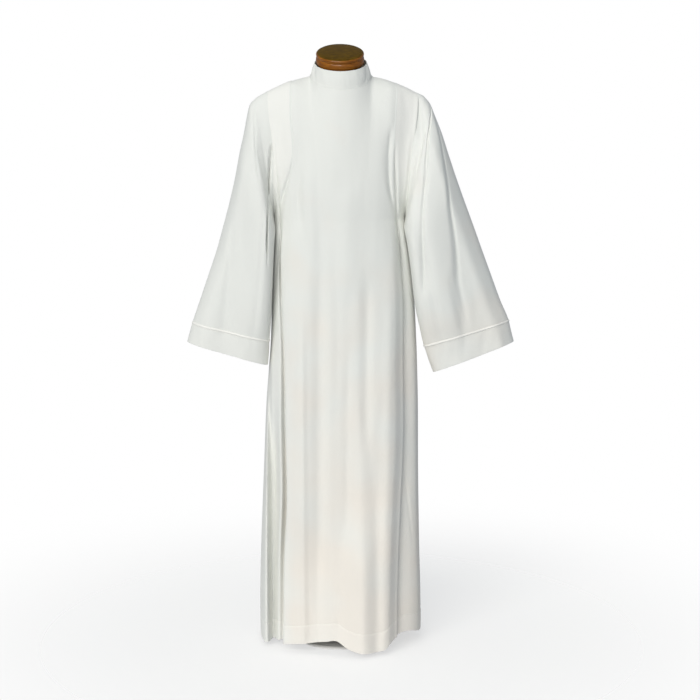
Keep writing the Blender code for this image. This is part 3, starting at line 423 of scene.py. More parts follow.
def panelRow(face, level):
    height = level * body["underarm"] if level <= 1 else panelPoint(face, body["probe"], level).z
    widths = skirt if level <= 1 else armhole
    profiles, proud, halves, lines = {}, {}, {}, {}
    for side, sign in (("right", -1), ("left", 1)):
        profiles[side] = pleatProfile(height, side)
        proud[side] = smoothValue(pleats, "height", height, side + "Proud")
        halves[side] = smoothValue(widths, "height", height, side)
        line = smoothValue(pleats, "height", height, side)
        lines[side] = [(sign * (line - across) / halves[side], out) for across, out in profiles[side]]

    def place(share, out):
        point = panelPoint(face, share, level)
        x = share * halves[sideOf(share)]
        calm = ramp(abs(share), *body["edgeCalm"])
        normal = panelNormal(face, share, level)
        # folds stand straight forward below the chest, and off the cloth above it
        forward = Vector((0, facing[face], 0)).lerp(normal, ramp(height, *body["offChest"])).normalized()
        ripple = clothRipple(x, point.y, height, body["ripple"])
        return point + normal * (ripple * calm) + forward * (out + foldLift(face, x, height) * calm)

    middle, count = body["columns"][face]

    def besidePleat(side, along):
        # the band stands on the middle above; below, the side of the cloth dips in under the middle
        out = profiles[side][0][1] + proud[side]
        seen = max(abs(share) for share, _ in lines[side])
        edge = (1 - seen) / (1 - abs(lines[side][0][0]))
        return out * ease(along if out > 0 else 1 + (along - edge) / body["sinkReach"][side])

    def beside(side, sign, strip):
        return [place(mix(sign, lines[side][0][0], along), besidePleat(side, along)) for along in strip]

    strip = [(i / count) ** body["stripPower"] for i in range(count)]
    points = beside("right", -1, strip)
    points += [place(share, out + proud["right"]) for share, out in lines["right"]]
    innerRight, innerLeft = lines["right"][-1][0], lines["left"][-1][0]
    reach = body["proudReach"]
    for share in middleShares(middle, level, innerRight, innerLeft):
        out = proud["right"] * ease(1 - (share - innerRight) / reach["right"])
        points.append(place(share, out + proud["left"] * ease(1 - (innerLeft - share) / reach["left"])))
    points += [place(share, out + proud["left"]) for share, out in reversed(lines["left"])]
    return points + beside("left", 1, reversed(strip))


def gridNormals(rows, closed):
    high, wide = len(rows), len(rows[0])
    normals = []
    for j in range(high):
        line = []
        for i in range(wide):
            if closed:
                across = rows[j][(i + 1) % wide] - rows[j][i - 1]
            else:
                across = rows[j][min(i + 1, wide - 1)] - rows[j][max(i - 1, 0)]
            up = rows[min(j + 1, high - 1)][i] - rows[max(j - 1, 0)][i]
            line.append(across.cross(up).normalized())
        normals.append(line)
    return normals


seamWeld = 0.000001           # closes a tube where its first and last columns meet


def clothPiece(name, rows, closed, material, thickness, doubled=None):
    # a bmesh grid laid onto the rows, with a UV map in metres along the threads
    wide, high = len(rows[0]), len(rows)
    middle, centre = rows[high // 2], wide // 2
    alongU, alongV = [0.0], [0.0]
    for i in range(1, wide + closed):
        alongU.append(alongU[-1] + (middle[i % wide] - middle[i - 1]).length)
    for j in range(1, high):
        alongV.append(alongV[-1] + (rows[j][centre] - rows[j - 1][centre]).length)
    columns = wide + 1 if closed else wide
    bm = bmesh.new()
    threads = bm.loops.layers.uv.new("threads")
    layers = bm.verts.layers.float.new("layers")
    bmesh.ops.create_grid(bm, x_segments=columns - 1, y_segments=high - 1, size=1)
    place = {}
    for vertex in bm.verts:
        i = round((vertex.co.x + 1) / 2 * (columns - 1))
        j = round((vertex.co.y + 1) / 2 * (high - 1))
        place[vertex] = (i, j)
    for vertex, (i, j) in place.items():
        vertex.co = rows[j][i % wide]
        vertex[layers] = doubled(i % wide, j) if doubled else 0.0
    for face in bm.faces:
        for loop in face.loops:
            i, j = place[loop.vert]
            loop[threads].uv = (alongU[i], alongV[j])
    if closed:
        bmesh.ops.remove_doubles(bm, verts=bm.verts, dist=seamWeld)
    piece = meshPiece(name, bm, material)
    solid = piece.modifiers.new("Thickness", "SOLIDIFY")
    solid.thickness = thickness
    solid.offset = -1
    shading = piece.modifiers.new("Shading", "WEIGHTED_NORMAL")
    shading.mode = "FACE_AREA"
    return piece


def meshPiece(name, bm, material, smooth=True):
    mesh = bpy.data.meshes.new(name)
    bm.to_mesh(mesh)
    bm.free()
    if smooth:
        mesh.shade_smooth()
    mesh.materials.append(material)
    piece = bpy.data.objects.new(name, mesh)
    scene.collection.objects.link(piece)
    return piece


def standFor(piece, node):
    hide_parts(node)
    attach(piece, "root")


def newMaterial(name):
    material = bpy.data.materials.new(name)
    material.use_nodes = True
    tree = material.node_tree
    return material, tree, tree.nodes["Principled BSDF"], addNode(tree, "TexCoord", {}, "Object")


def makePoplin():
    # plain-weave polyester and viscose poplin: matt, nearly white, a faint cross-grid of threads.
    # It is a little lighter where it lies double. Real threads are 0.25 mm apart and are drawn
    # at 0.9 mm so that they show.
    material, tree, shader, place = newMaterial("poplin_plain_weave")
    threadStep = 0.0009
    waveWidth = 0.314         # metres to a band of the wave texture at scale 1
    uv = addNode(tree, "UVMap", {}, uv_map="threads")
    threads = {"Scale": waveWidth / threadStep, "Distortion": 0.6, "Detail": 1.0, "Detail Scale": 0.4,
               "Vector": uv}
    warp = addNode(tree, "TexWave", threads, "Fac", wave_type="BANDS", bands_direction="X")
    weft = addNode(tree, "TexWave", threads, "Fac", wave_type="BANDS", bands_direction="Y")
    weave = addNode(tree, "Math", {0: warp, 1: weft}, operation="MULTIPLY")
    slub = addNode(tree, "TexNoise", {"Scale": 220.0, "Detail": 2.0, "Vector": uv}, "Fac")
    crumple = addNode(tree, "TexNoise", {"Scale": 38.0, "Detail": 3.0, "Roughness": 0.55, "Vector": place},
                      "Fac")
    # slow warm and cool drift over about 120 mm, warmer towards the hem and cooler at the wearer's right
    drift = addNode(tree, "TexNoise", {"Scale": 8.0, "Detail": 1.0, "Vector": place}, "Fac")
    across = addNode(tree, "SeparateXYZ", {"Vector": place}, "X")
    height = addNode(tree, "SeparateXYZ", {"Vector": place}, "Z")
    warm = addNode(tree, "Math", {0: height, 1: -0.45, 2: drift}, operation="MULTIPLY_ADD")
    inside = addNode(tree, "MapRange", {"Value": across, "From Min": -0.16, "From Max": -0.12,
                                        "To Min": 0.1, "To Max": 1.0})
    share = addNode(tree, "Math", {0: warm, 1: inside}, operation="MULTIPLY")
    tone = addNode(tree, "ValToRGB", {"Fac": share}, stops=((0.0, "#e6e7e2"), (0.5, "#e9e3da")))
    layered = addNode(tree, "Attribute", {}, "Fac", attribute_name="layers")
    double = addNode(tree, "Mix", {"Factor": layered, "A": tone, "B": toLinear("#f4f2ec")}, "Result",
                     data_type="RGBA")
    shade = addNode(tree, "MapRange", {"Value": weave, "To Min": 0.985, "To Max": 1.0})
    colour = addNode(tree, "Mix", {"Factor": 1.0, "A": double, "B": shade}, "Result", data_type="RGBA",
                     blend_type="MULTIPLY")
    grain = addNode(tree, "Bump", {"Height": weave, "Strength": 0.18, "Distance": 0.0003})
    uneven = addNode(tree, "Bump", {"Height": slub, "Strength": 0.10, "Distance": 0.0006, "Normal": grain})
    soft = addNode(tree, "Bump", {"Height": crumple, "Strength": 0.16, "Distance": 0.004, "Normal": uneven})
    setInputs(tree, shader, {"Base Color": colour, "Normal": soft, "Roughness": 0.86,
                             "Specular IOR Level": 0.25, "Sheen Weight": 0.12, "Sheen Roughness": 0.5})
    return material


def makeThread():
    # polyester sewing thread: slightly glossier than the cloth, twisted
    material, tree, shader, place = newMaterial("sewing_thread_polyester")
    twist = addNode(tree, "TexNoise", {"Scale": 900.0, "Detail": 1.0, "Vector": place}, "Fac")
    bump = addNode(tree, "Bump", {"Height": twist, "Strength": 0.3, "Distance": 0.0001})
    setInputs(tree, shader, {"Base Color": toLinear("#f1efe8"), "Normal": bump, "Roughness": 0.55})
    return material


cap = {
    "centre": Vector((-0.0018, -0.0225, 1.5385)),
    "tilt": math.radians(20),
    "lipHeight": -0.0022,     # above it the darker olive top: end grain with a painted reflection
    "lipBlend": 0.0012,
    "steps": 112,
    "weld": 0.00001,
    "sharp": math.radians(50),
    # radius and height down the side: crowned top, rounded lip, groove, deep bead
    "profile": [(0.0, 0.003), (0.015, 0.0029), (0.03, 0.0024), (0.043, 0.0015), (0.052, 0.0006), (0.0562,
        -0.0002), (0.0588, -0.0018), (0.0602, -0.0036), (0.0606, -0.0055), (0.0603, -0.0074), (0.0594,
        -0.0092), (0.0583, -0.0106), (0.0583, -0.0114), (0.0594, -0.0128), (0.0604, -0.0148), (0.061,
        -0.0175), (0.0612, -0.022), (0.0609, -0.0255), (0.0598, -0.0285), (0.0578, -0.0308), (0.054,
        -0.0335), (0.0, -0.0335)],
}


def makeVarnishedWood():
    # beech stained amber, turned and varnished: amber rings round the side under a clear glossy coat,
    # and a darker olive top that is partly its end grain and partly a painted reflection
    material, tree, shader, place = newMaterial("varnished_turned_beech")
    lay = addNode(tree, "Mapping", {"Scale": (1.0, 1.0, 5.0), "Vector": place})
    grain = addNode(tree, "TexNoise", {"Scale": 70.0, "Detail": 4.0, "Distortion": 0.4, "Vector": lay},
                    "Fac")
    fleck = addNode(tree, "TexNoise", {"Scale": 380.0, "Detail": 2.0, "Vector": lay}, "Fac")
    blend = addNode(tree, "Math", {0: fleck, 1: 0.35, 2: grain}, operation="MULTIPLY_ADD")
    amber = addNode(tree, "ValToRGB", {"Fac": blend}, stops=((0.40, "#68380a"), (0.95, "#a2641a")))
    # painted reflection: the top's olive tone holds a reflection as well as the end grain
    olive = addNode(tree, "ValToRGB", {"Fac": blend}, stops=((0.40, "#423007"), (0.95, "#644b0a")))
    upright = addNode(tree, "Mapping", {"Location": cap["centre"], "Rotation": (cap["tilt"], 0.0, 0.0),
                                        "Vector": place}, vector_type="TEXTURE")
    height = addNode(tree, "SeparateXYZ", {"Vector": upright}, "Z")
    top = addNode(tree, "MapRange", {"Value": height, "From Min": cap["lipHeight"],
                                     "From Max": cap["lipHeight"] + cap["lipBlend"]})
    tone = addNode(tree, "Mix", {"Factor": top, "A": amber, "B": olive}, "Result", data_type="RGBA")
    bump = addNode(tree, "Bump", {"Height": grain, "Strength": 0.08, "Distance": 0.0004})
    # the flat top gets no coat: its reflection is painted into its olive colour instead
    coat = addNode(tree, "Math", {0: top, 1: -0.50, 2: 0.5}, operation="MULTIPLY_ADD")
    setInputs(tree, shader, {"Base Color": tone, "Normal": bump, "Roughness": 0.45,
                             "Specular IOR Level": 0.05, "Coat Weight": coat, "Coat IOR": 1.4,
                             "Coat Roughness": 0.03})
    return material


def makeLinen():
    # natural linen stretched over the form: a coarse, slubby weave, 2 mm from slub to slub
    material, tree, shader, place = newMaterial("natural_linen_cover")
    threads = addNode(tree, "TexNoise", {"Scale": 500.0, "Detail": 3.0, "Vector": place}, "Fac")
    tone = addNode(tree, "ValToRGB", {"Fac": threads}, stops=((0.3, "#a89b80"), (0.7, "#cfc4a9")))
    bump = addNode(tree, "Bump", {"Height": threads, "Strength": 0.4, "Distance": 0.0006})
    setInputs(tree, shader, {"Base Color": tone, "Normal": bump, "Roughness": 0.9})
    return material


def makeBrushedSteel():
    # steel tube brushed round its length: soft streaks 0.3 mm wide
    material, tree, shader, place = newMaterial("brushed_steel_tube")
    lay = addNode(tree, "Mapping", {"Scale": (1.0, 1.0, 60.0), "Vector": place})
    streak = addNode(tree, "TexNoise", {"Scale": 55.0, "Detail": 4.0, "Vector": lay}, "Fac")
    rough = addNode(tree, "MapRange", {"Value": streak, "To Min": 0.22, "To Max": 0.42})
    bump = addNode(tree, "Bump", {"Height": streak, "Strength": 0.1, "Distance": 0.0001})
    setInputs(tree, shader, {"Base Color": toLinear("#b9babb"), "Metallic": 1.0, "Roughness": rough,
                             "Normal": bump})
    return material


def makeCastIron():
    # cast iron under satin off-white paint: a faint orange-peel of 2 mm
    material, tree, shader, place = newMaterial("painted_cast_iron")
    peel = addNode(tree, "TexNoise", {"Scale": 480.0, "Detail": 2.0, "Vector": place}, "Fac")
    wear = addNode(tree, "TexNoise", {"Scale": 30.0, "Detail": 4.0, "Vector": place}, "Fac")
    rough = addNode(tree, "MapRange", {"Value": wear, "To Min": 0.32, "To Max": 0.55})
    bump = addNode(tree, "Bump", {"Height": peel, "Strength": 0.25, "Distance": 0.0003})
    setInputs(tree, shader, {"Base Color": toLinear("#e3e1dc"), "Roughness": rough, "Normal": bump})
    return material


poplin = makePoplin()
thread = makeThread()
wood = makeVarnishedWood()
linen = makeLinen()
steel = makeBrushedSteel()
iron = makeCastIron()
print("materials made")


hemRows = [0.0, 0.003, 0.012, 0.024, 0.036, 0.048]            # the hem's turned-up inside
skirtRows = [0.007, 0.017, 0.030, 0.042, 0.046, 0.0495, 0.0515, 0.053, 0.0545, 0.0565, 0.060, 0.066]


def chestLevels(fine):
    levels = []
    for low, high in zip(chestKnots, chestKnots[1:]):
        levels += [mix(low, high, step / fine) for step in range(fine)]
    return levels + [2.0]


def stitchDip(height, line):
    # a row of stitches pulls the cloth in a little, and the hem below lies double
    (pull, width), (lift, reach) = body["stitchPull"], body["doubleLift"]
    return -pull * math.exp(-(((height - line) / width) ** 2)) + lift * ease((line - height) / reach)


def nearestRow(levels, height):
    return min(range(len(levels)), key=lambda k: abs(levels[k] * body["underarm"] - height))


def relaxNeckCorners(face, rows, levels):
    # the cloth below each neck corner lies as a stretched film, so no ridge runs down from the corner
    middle, count = body["columns"][face]
    first = count + pleatColumns - 1
    reach, (start, end) = body["relaxReach"], body["relaxZones"]
    held = [(j, ramp(level, *start) * ramp(level, *end)) for j, level in enumerate(levels)]
    held = [(j, share) for j, share in held if share > 0 and j < len(rows) - 1]
    for repeat in range(body["relaxSteps"]):
        for corner in [first + round((middle + 1) * share) for share in body["cornerPlaces"]]:
            for i in range(corner - reach, corner + reach + 1):
                near = ease((reach - abs(i - corner)) / (reach * body["relaxSoft"]))
                for j, share in held:
                    around = (rows[j][i - 1] + rows[j][i + 1] + rows[j - 1][i] + rows[j + 1][i]) / 4
                    rows[j][i] = rows[j][i].lerp(around, near * share * body["relaxPull"])


def makePanel(face):
    first, step, count = body["rows"]
    heights = sorted(set(hemRows[:-1] + skirtRows)) + [first + i * step for i in range(count)]
    levels = [h / body["underarm"] for h in heights if h < body["rowsEnd"]] + chestLevels(chestFine)
    rows = [panelRow(face, level) for level in levels]
    if face == "back":
        rows = [list(reversed(row)) for row in rows]
    relaxNeckCorners(face, rows, levels)
    normals = gridNormals(rows, closed=False)
    for j, level in enumerate(levels):
        if level < body["stitchedBelow"]:
            dip = stitchDip(level * body["underarm"], body["hemDeep"])
            rows[j] = [p + n * dip for p, n in zip(rows[j], normals[j])]
    # the edge turns under and runs up inside to the stitches
    gap = body["thickness"] * body["turnGap"]
    inside = []
    for height in reversed(hemRows[1:]):
        j = nearestRow(levels, height)
        inside.append([p - n * gap for p, n in zip(rows[j], normals[j])])
    low = Vector((0, 0, body["hemDrop"]))
    edge = [[p - n * gap * part - low * drop for p, n in zip(rows[0], normals[0])]
            for part, drop in ((1.0, -0.3),) + foldedEdge]
    turned = len(inside) + len(edge)
    rows = rollEdges(face, inside + edge + rows, turned, levels)
    lastDouble = turned + bisect.bisect(levels, body["hemDeep"] / body["underarm"])
    side = body["columns"][face][1] + 2

    def doubled(i, j):
        if j < lastDouble:
            return body["tint"]["hem"]
        level = levels[min(max(j - turned, 0), len(levels) - 1)]
        onBand = i < side or i > len(rows[0]) - 1 - side
        return body["tint"]["band"] * ramp(level, *body["bandZone"]) if onBand else 0.0

    piece = clothPiece(face + "_cloth", rows, False, poplin, body["thickness"], doubled)
    return piece, rows, turned, levels


seamEdge = {
    "under": {"front": 0.0050, "back": 0.0008},      # how far the side allowance runs, below the underarm
    "short": 0.0008,                                 # and above it
    "shortZone": (1, 0.05),
    "roll": (0.0001, 0.0003),                        # on and in at the rolled edge
    "sink": 0.0012,
    "neckInset": 0.0005,
    # the top edge's rows: in at the shoulder, and in and up round the neck
    "topRows": ((0.0003, 0.0003, -0.0004), (0.0014, 0.0040, -0.0004), (0.0016, 0.0044, 0.0050)),
}


def rollEdges(face, rows, turned, levels):
    # the seams' edges roll in, and the front's allowance lies under the back
    normals = gridNormals(rows, closed=False)
    under, short, (on, inwards) = seamEdge["under"][face], seamEdge["short"], seamEdge["roll"]
    made = []
    for j, row in enumerate(rows):
        level = levels[j - turned] if j >= turned else 0.0
        reach = mix(under, short, ramp(level, *seamEdge["shortZone"])) if level > 1 else under
        ends = []
        for first, second in ((0, 1), (-1, -2)):
            edge, n = row[first], normals[j][first]
            out = (edge - row[second]).normalized()
            ends.append([edge + out * on - n * inwards, edge + out * reach - n * seamEdge["sink"]])
        made.append([ends[0][1], ends[0][0]] + row + [ends[1][0], ends[1][1]])
    allowance = []
    for part, (sink, inward, rise) in zip((on, under, under), seamEdge["topRows"]):
        line = []
        for i, point in enumerate(made[-1]):
            inner = min(max(i - 2, 0), len(rows[-1]) - 1)
            n = normals[-1][inner]
            if abs(point.x) < body["neckWidth"] - seamEdge["neckInset"]:
                middle = Vector((-point.x, -point.y, 0)).normalized()
                line.append(point + middle * inward + Vector((0, 0, rise)))
            else:
                n = Vector((n.x, 0, n.z)).normalized()
                line.append(point + Vector((0, -facing[face] * part, 0)) - n * sink)
        allowance.append(line)
    return made + allowance


panelGrids = {}
for face in ("front", "back"):
    piece, rows, turned, levels = makePanel(face)
    panelGrids[face] = (rows, turned, levels)
    standFor(piece, face + "_panel")
    print(face, "made", len(piece.data.vertices), "points")


sleeves = {
    "cutArea": {"right": 0.25, "left": 0.28},                  # tapered cuts, so less than their oblongs
    "cuffCut": {"right": (0.50, 0.125), "left": (0.53, 0.138)},
    "round": 2.6,
    "tip": {"right": 0.06, "left": 0.10},
    "ringsFine": [(3.0, 14), (6.0, 8), (11.0, 5)],      # rows to each stretch of the table, up to a row
    "roundFine": 14,          # points of a ring to each of the armhole's stretches
    "ripple": 0.0010,
    "rippleIn": 4,
    "foldFade": ((0, 0.25), (1, -0.15)),
    "creaseFade": 0.2,
    "sameSide": -1500,        # a crease further round than this is on the other face
    "liftPower": 1.13,
    "blendRows": 8,           # between the seam and the first full ring
    # the armhole seam's rows, how far on and how far in: the allowance inside the body, then the edge
    "seamRows": ((-0.0070, 0.0024), (0.0001, 0.0008), (0.0006, 0.0002), (0.0018, 0.0)),
    # thirteen places down the sleeve: half depths, and how far the ring has left the armhole's shape
    "both": {
        "at": list(range(13)),
        "front": [0.081, 0.08, 0.079, 0.077, 0.075, 0.073, 0.07, 0.067, 0.064, 0.061, 0.057, 0.054, 0.051],
        "back": [0.084, 0.083, 0.082, 0.08, 0.077, 0.074, 0.071, 0.068, 0.065, 0.061, 0.057, 0.053, 0.05],
        "even": [0.1, 0.25, 0.45, 0.7, 0.9] + [1.0] * 8,
    },
    "right": {
        "outX": [-0.2155, -0.231, -0.2385, -0.2475, -0.258, -0.2695, -0.284, -0.3015, -0.32, -0.342,
            -0.3648, -0.384, -0.399],
        "outZ": [1.4225, 1.406, 1.377, 1.331, 1.285, 1.225, 1.1626, 1.098, 1.033, 0.969, 0.903, 0.848,
            0.796],
        "inX": [-0.17, -0.1682, -0.1668, -0.167, -0.1684, -0.1702, -0.1718, -0.1736, -0.1757, -0.178,
            -0.1806, -0.184, -0.188],
        "inZ": [1.112, 1.103, 1.093, 1.079, 1.06, 1.03, 0.995, 0.953, 0.912, 0.874, 0.838, 0.804, 0.739],
        "inY": [-0.01, -0.026, -0.04, -0.05, -0.056, -0.059, -0.06, -0.059, -0.057, -0.054, -0.05, -0.044,
            -0.036],
    },
    "left": {
        "outX": [0.213, 0.227, 0.2385, 0.257, 0.2753, 0.295, 0.3158, 0.34, 0.3635, 0.3875, 0.412, 0.434,
            0.448],
        "outZ": [1.425, 1.4075, 1.38, 1.3337, 1.2778, 1.22, 1.1626, 1.098, 1.0336, 0.969, 0.9034, 0.8525,
            0.7965],
        "inX": [0.164, 0.162, 0.161, 0.1632, 0.167, 0.1718, 0.1765, 0.1815, 0.1865, 0.1935, 0.203, 0.2135,
            0.237],
        "inZ": [1.111, 1.103, 1.093, 1.079, 1.06, 1.03, 0.995, 0.953, 0.912, 0.872, 0.832, 0.788, 0.718],
        "inY": [-0.01, -0.028, -0.044, -0.054, -0.061, -0.065, -0.066, -0.064, -0.061, -0.057, -0.051,
            -0.043, -0.036],
    },
    # start and end as shares of the length, place round the ring at both (0 outer edge, 180 inner
    # edge, front positive), width, lift
    "rightFolds": [
        (0.45, 1.3, 78, 96, 15, -0.006),
        (0.3, 1.2, 45, 56, 16, 0.004),
        (0.35, 1.3, -96, -86, 18, -0.006),
        (0.2, 1.25, -48, -52, 16, 0.004),
    ],
    "leftFolds": [
        (-0.03, 0.2, 42, 84, 20, -0.008),
        (0.12, 1.25, 62, 54, 13, 0.006),
        (0.1, 0.8, 100, 128, 14, -0.005),
        (0.4, 1.3, 98, 100, 15, 0.0035),
        (0.3, 1.3, -88, -96, 18, -0.006),
        (0.1, 1.2, -52, -50, 16, 0.0045),
    ],
    "perDegree": 0.00133,     # metres of cloth to a degree round
    "length": 0.66,
    # sharper creases: share of the length and place round along each, width, lift, and how much
    # the cloth nearer the inner edge stands higher, dying out over a reach
    "rightCreases": [
        ([(-0.06, 70), (0.013, 93), (0.021, 97), (0.045, 112), (0.085, 124), (0.15, 126), (0.25, 126),
            (0.37, 125), (0.51, 129), (0.63, 139)], 0.0045, -0.015, -0.003, 0.03),
        ([(0.08, 10), (0.112, 25), (0.151, 61), (0.25, 82), (0.33, 92)], 0.008, -0.0012, 0.0, 1),
        ([(0.6, 54), (0.677, 59), (0.8, 72), (0.927, 82), (1.08, 90)], 0.01, -0.0038, 0.0, 1),
        ([(0.3, 108), (0.45, 112), (0.7, 118), (1.08, 124)], 0.009, -0.002, 0.0025, 0.03),
        ([(0.15, -100), (0.3, -92), (0.6, -96), (0.9, -104)], 0.009, -0.0045, 0.0, 1),
        ([(0.05, -40), (0.15, -62), (0.3, -70), (0.5, -72)], 0.006, -0.003, 0.0, 1),
    ],
    "leftCreases": [
        ([(0.16, -12), (0.233, 4), (0.265, 18), (0.366, 38), (0.447, 50), (0.545, 65), (0.782, 86), (0.981,
            92), (1.08, 95)], 0.006, -0.006, 0.009, 0.06),
        ([(0.1, 6), (0.16, 14), (0.196, 26), (0.215, 44), (0.234, 62), (0.278, 80), (0.377, 96), (0.474,
            109), (0.62, 122), (0.8, 136)], 0.007, -0.005, 0.0, 1),
        ([(0.5, 112), (0.7, 116), (0.9, 118), (1.08, 120)], 0.009, -0.0025, 0.0, 1),
        ([(0.15, -88), (0.3, -92), (0.6, -98), (0.95, -104)], 0.009, -0.005, 0.0, 1),
        ([(0.05, -36), (0.15, -58), (0.3, -66), (0.5, -70)], 0.006, -0.0035, 0.0, 1),
    ],
}


def armholeLoop(side):
    share = -1 if side == "right" else 1
    fine = chestLevels(sleeves["roundFine"])
    stations = [("front", level) for level in fine] + [("back", level) for level in reversed(fine[1:-1])]
    loop, normals = [], []
    for face, level in stations:
        point, normal = panelPoint(face, share, level), panelNormal(face, share, level)
        if level in (1, 2):
            point.y = 0
            normal = Vector((0, 0, 1)) if level == 2 else Vector((share, 0, 0))
        loop.append(point)
        normals.append(normal)
    return loop, normals


def awayFrom(path, length, around):
    # the distance over the cloth to a crease, positive nearer the inner edge, and its strength there
    turn = math.copysign(1, path[-1][1])

    def onCloth(length, around):
        return Vector((length * sleeves["length"], around * turn * sleeves["perDegree"]))

    here, best = onCloth(length, around), None
    for start, end in zip(path, path[1:]):
        a = onCloth(*start)
        span, offset = onCloth(*end) - a, here - a
        share = min(max(offset.dot(span) / span.length_squared, 0.0), 1.0)
        away = (offset - span * share).length
        if best is None or away < best[0]:
            best = (away, 1 if span.x * offset.y - span.y * offset.x > 0 else -1)
    long, end = path[-1][0] - path[0][0], sleeves["creaseFade"]
    fade = ease((length - path[0][0]) / long / end) * ease((path[-1][0] - length) / long / end)
    return best[0] * best[1], fade


def sleeveRing(side, at, loop, bare=False):
    table = {**sleeves["both"], **sleeves[side]}
    row = {key: smoothValue(table, "at", at, key) for key in table if key != "at"}
    count, last = len(loop), table["at"][-1]
    low, high = loop[0], loop[count // 2]
    centre = Vector(((row["outX"] + row["inX"]) / 2, 0, (row["outZ"] + row["inZ"]) / 2))
    half = Vector(((row["outX"] - row["inX"]) / 2, 0, (row["outZ"] - row["inZ"]) / 2))
    length = (at + 1) / last
    points = []
    for index in range(count):
        angle = 2 * math.pi * index / count
        c, s = math.cos(angle), math.sin(angle)
        along = -math.copysign(abs(c) ** (2 / sleeves["round"]), c)
        depth = -math.copysign(abs(s) ** (2 / sleeves["round"]), s)
        depth *= row["front"] if depth < 0 else row["back"]
        depth += row["inY"] * (1 - along) / 2
        hole = loop[index]
        holeAlong = 2 * (hole.z - low.z) / (high.z - low.z) - 1
        along = mix(holeAlong, along, row["even"])
        depth = mix(hole.y + row["inY"] * (1 - along) / 2, depth, row["even"])
        around = 180 * (1 - 2 * index / count) if index <= count // 2 else -180 * (2 * index / count - 1)
        for start, end, atStart, atEnd, width, lift in sleeves[side + "Folds"]:
            passed = (length - start) / (end - start)
            if 0 < passed < 1 and not bare:
                fade = ramp(passed, *sleeves["foldFade"][0]) * ramp(passed, *sleeves["foldFade"][1])
                away = (around - mix(atStart, atEnd, passed)) / width
                depth += math.copysign(1, around) * -lift * fade * math.exp(-away * away)
        lift = clothRipple(centre.x + half.x * along, depth, centre.z + half.z * along, sleeves["ripple"])
        lift *= ease(length * sleeves["rippleIn"])
        for path, width, pinch, step, reach in sleeves[side + "Creases"]:
            seen = around * path[-1][1] > sleeves["sameSide"] and not bare
            if path[0][0] < length < path[-1][0] and seen:
                away, fade = awayFrom(path, length, around)
                lift += creaseShape(away, width, pinch, step, reach) * fade
        # out of the ring: back to front, and inwards too along its inner edge
        inward = -abs(c) ** sleeves["liftPower"] / half.length if c > 0 else 0.0
        outward = math.copysign(abs(s) ** sleeves["liftPower"], -s)
        outward /= row["front"] if s > 0 else row["back"]
        size = math.hypot(inward, outward) or 1.0
        along += inward / size * lift / half.length
        depth += outward / size * lift
        tip = sleeves["tip"][side] * row["even"]
        points.append(centre + half * along + Vector((0, depth, -tip * depth)))
    return points


def makeSleeve(side):
    loop, panelNormals = armholeLoop(side)
    first = sleeveRing(side, 0, loop)
    turn = 1 if side == "right" else -1
    seam = []
    for i, point in enumerate(loop):
        along = loop[(i + 1) % len(loop)] - loop[i - 1]
        onward = (first[i] - point).normalized()
        sleeveNormal = along.cross(onward).normalized() * turn
        normal = (sleeveNormal + panelNormals[i]).normalized()
        if i in (0, len(loop) // 2):
            normal = Vector((normal.x, 0, normal.z)).normalized()
        onward = (onward - normal * onward.dot(normal)).normalized()
        seam.append((point, normal, onward))
    rings = []
    for ahead, sink in sleeves["seamRows"]:
        rings.append([point + onward * ahead - normal * sink for point, normal, onward in seam])
    # then it curves smoothly into the first full ring
    plain, onwards = sleeveRing(side, 0, loop, True), sleeveRing(side, 0.5, loop, True)
    for step in range(1, sleeves["blendRows"]):
        t = step / sleeves["blendRows"]
        bare, creased = sleeveRing(side, t - 1, loop, True), sleeveRing(side, t - 1, loop)
        ring = []
        for (point, _, _), flat, after, flatHere, ringed in zip(seam, plain, onwards, bare, creased):
            leave, arrive = flat - point, (after - flat) * 2
            if arrive.length > leave.length:
                arrive *= leave.length / arrive.length
            curve = (point * ((1 + 2 * t) * (1 - t) ** 2) + leave * (t * (1 - t) ** 2)
                     + flat * (t * t * (3 - 2 * t)) - arrive * (t * t * (1 - t)))
            ring.append(curve + (ringed - flatHere))
        rings.append(ring)
    stations = [0.0]
    for end, fine in sleeves["ringsFine"]:
        start = stations[-1]
        steps = round((end - start) * fine)
        stations += [mix(start, end, (k + 1) / steps) for k in range(steps)]
    rings += [sleeveRing(side, at, loop) for at in stations]
    cuffRings = [sleeveRing(side, stations[-1] + k / cuffs["rings"], loop)
                 for k in range(cuffs["rings"] + 1)]
    if side == "left":
        rings, cuffRings = [[[ring[0]] + ring[:0:-1] for ring in each] for each in (rings, cuffRings)]
    piece = clothPiece("sleeve_" + side + "_cloth", rings, True, poplin, body["thickness"])
    standFor(piece, "sleeve_" + side)
    return piece, cuffRings


cuffs = {
    "insideDepth": 0.0015,
    # across the trim: distance from the seam and height
    "trimShape": [(-0.0014, 0.0004), (-0.0006, 0.0010), (0.0008, 0.0015), (0.0026, 0.0017),
                  (0.0042, 0.0014), (0.0051, 0.0009), (0.0054, 0.0002)],
    "waves": 0.0011,          # the band's own unevenness
    "waveScale": (45, 30, 20),
    "waveSeed": 7,
    "waveZone": (0, 0.3),
    "rings": 12,
    "rows": 14,
    "edgeDrop": 0.0006,
    "trimThickness": 0.0004,
    "tint": {"band": 0.15, "trim": 0.8},
    "stitchAt": (0.0075, 0.012),            # from the seam: the stitches, and a line beyond them
}


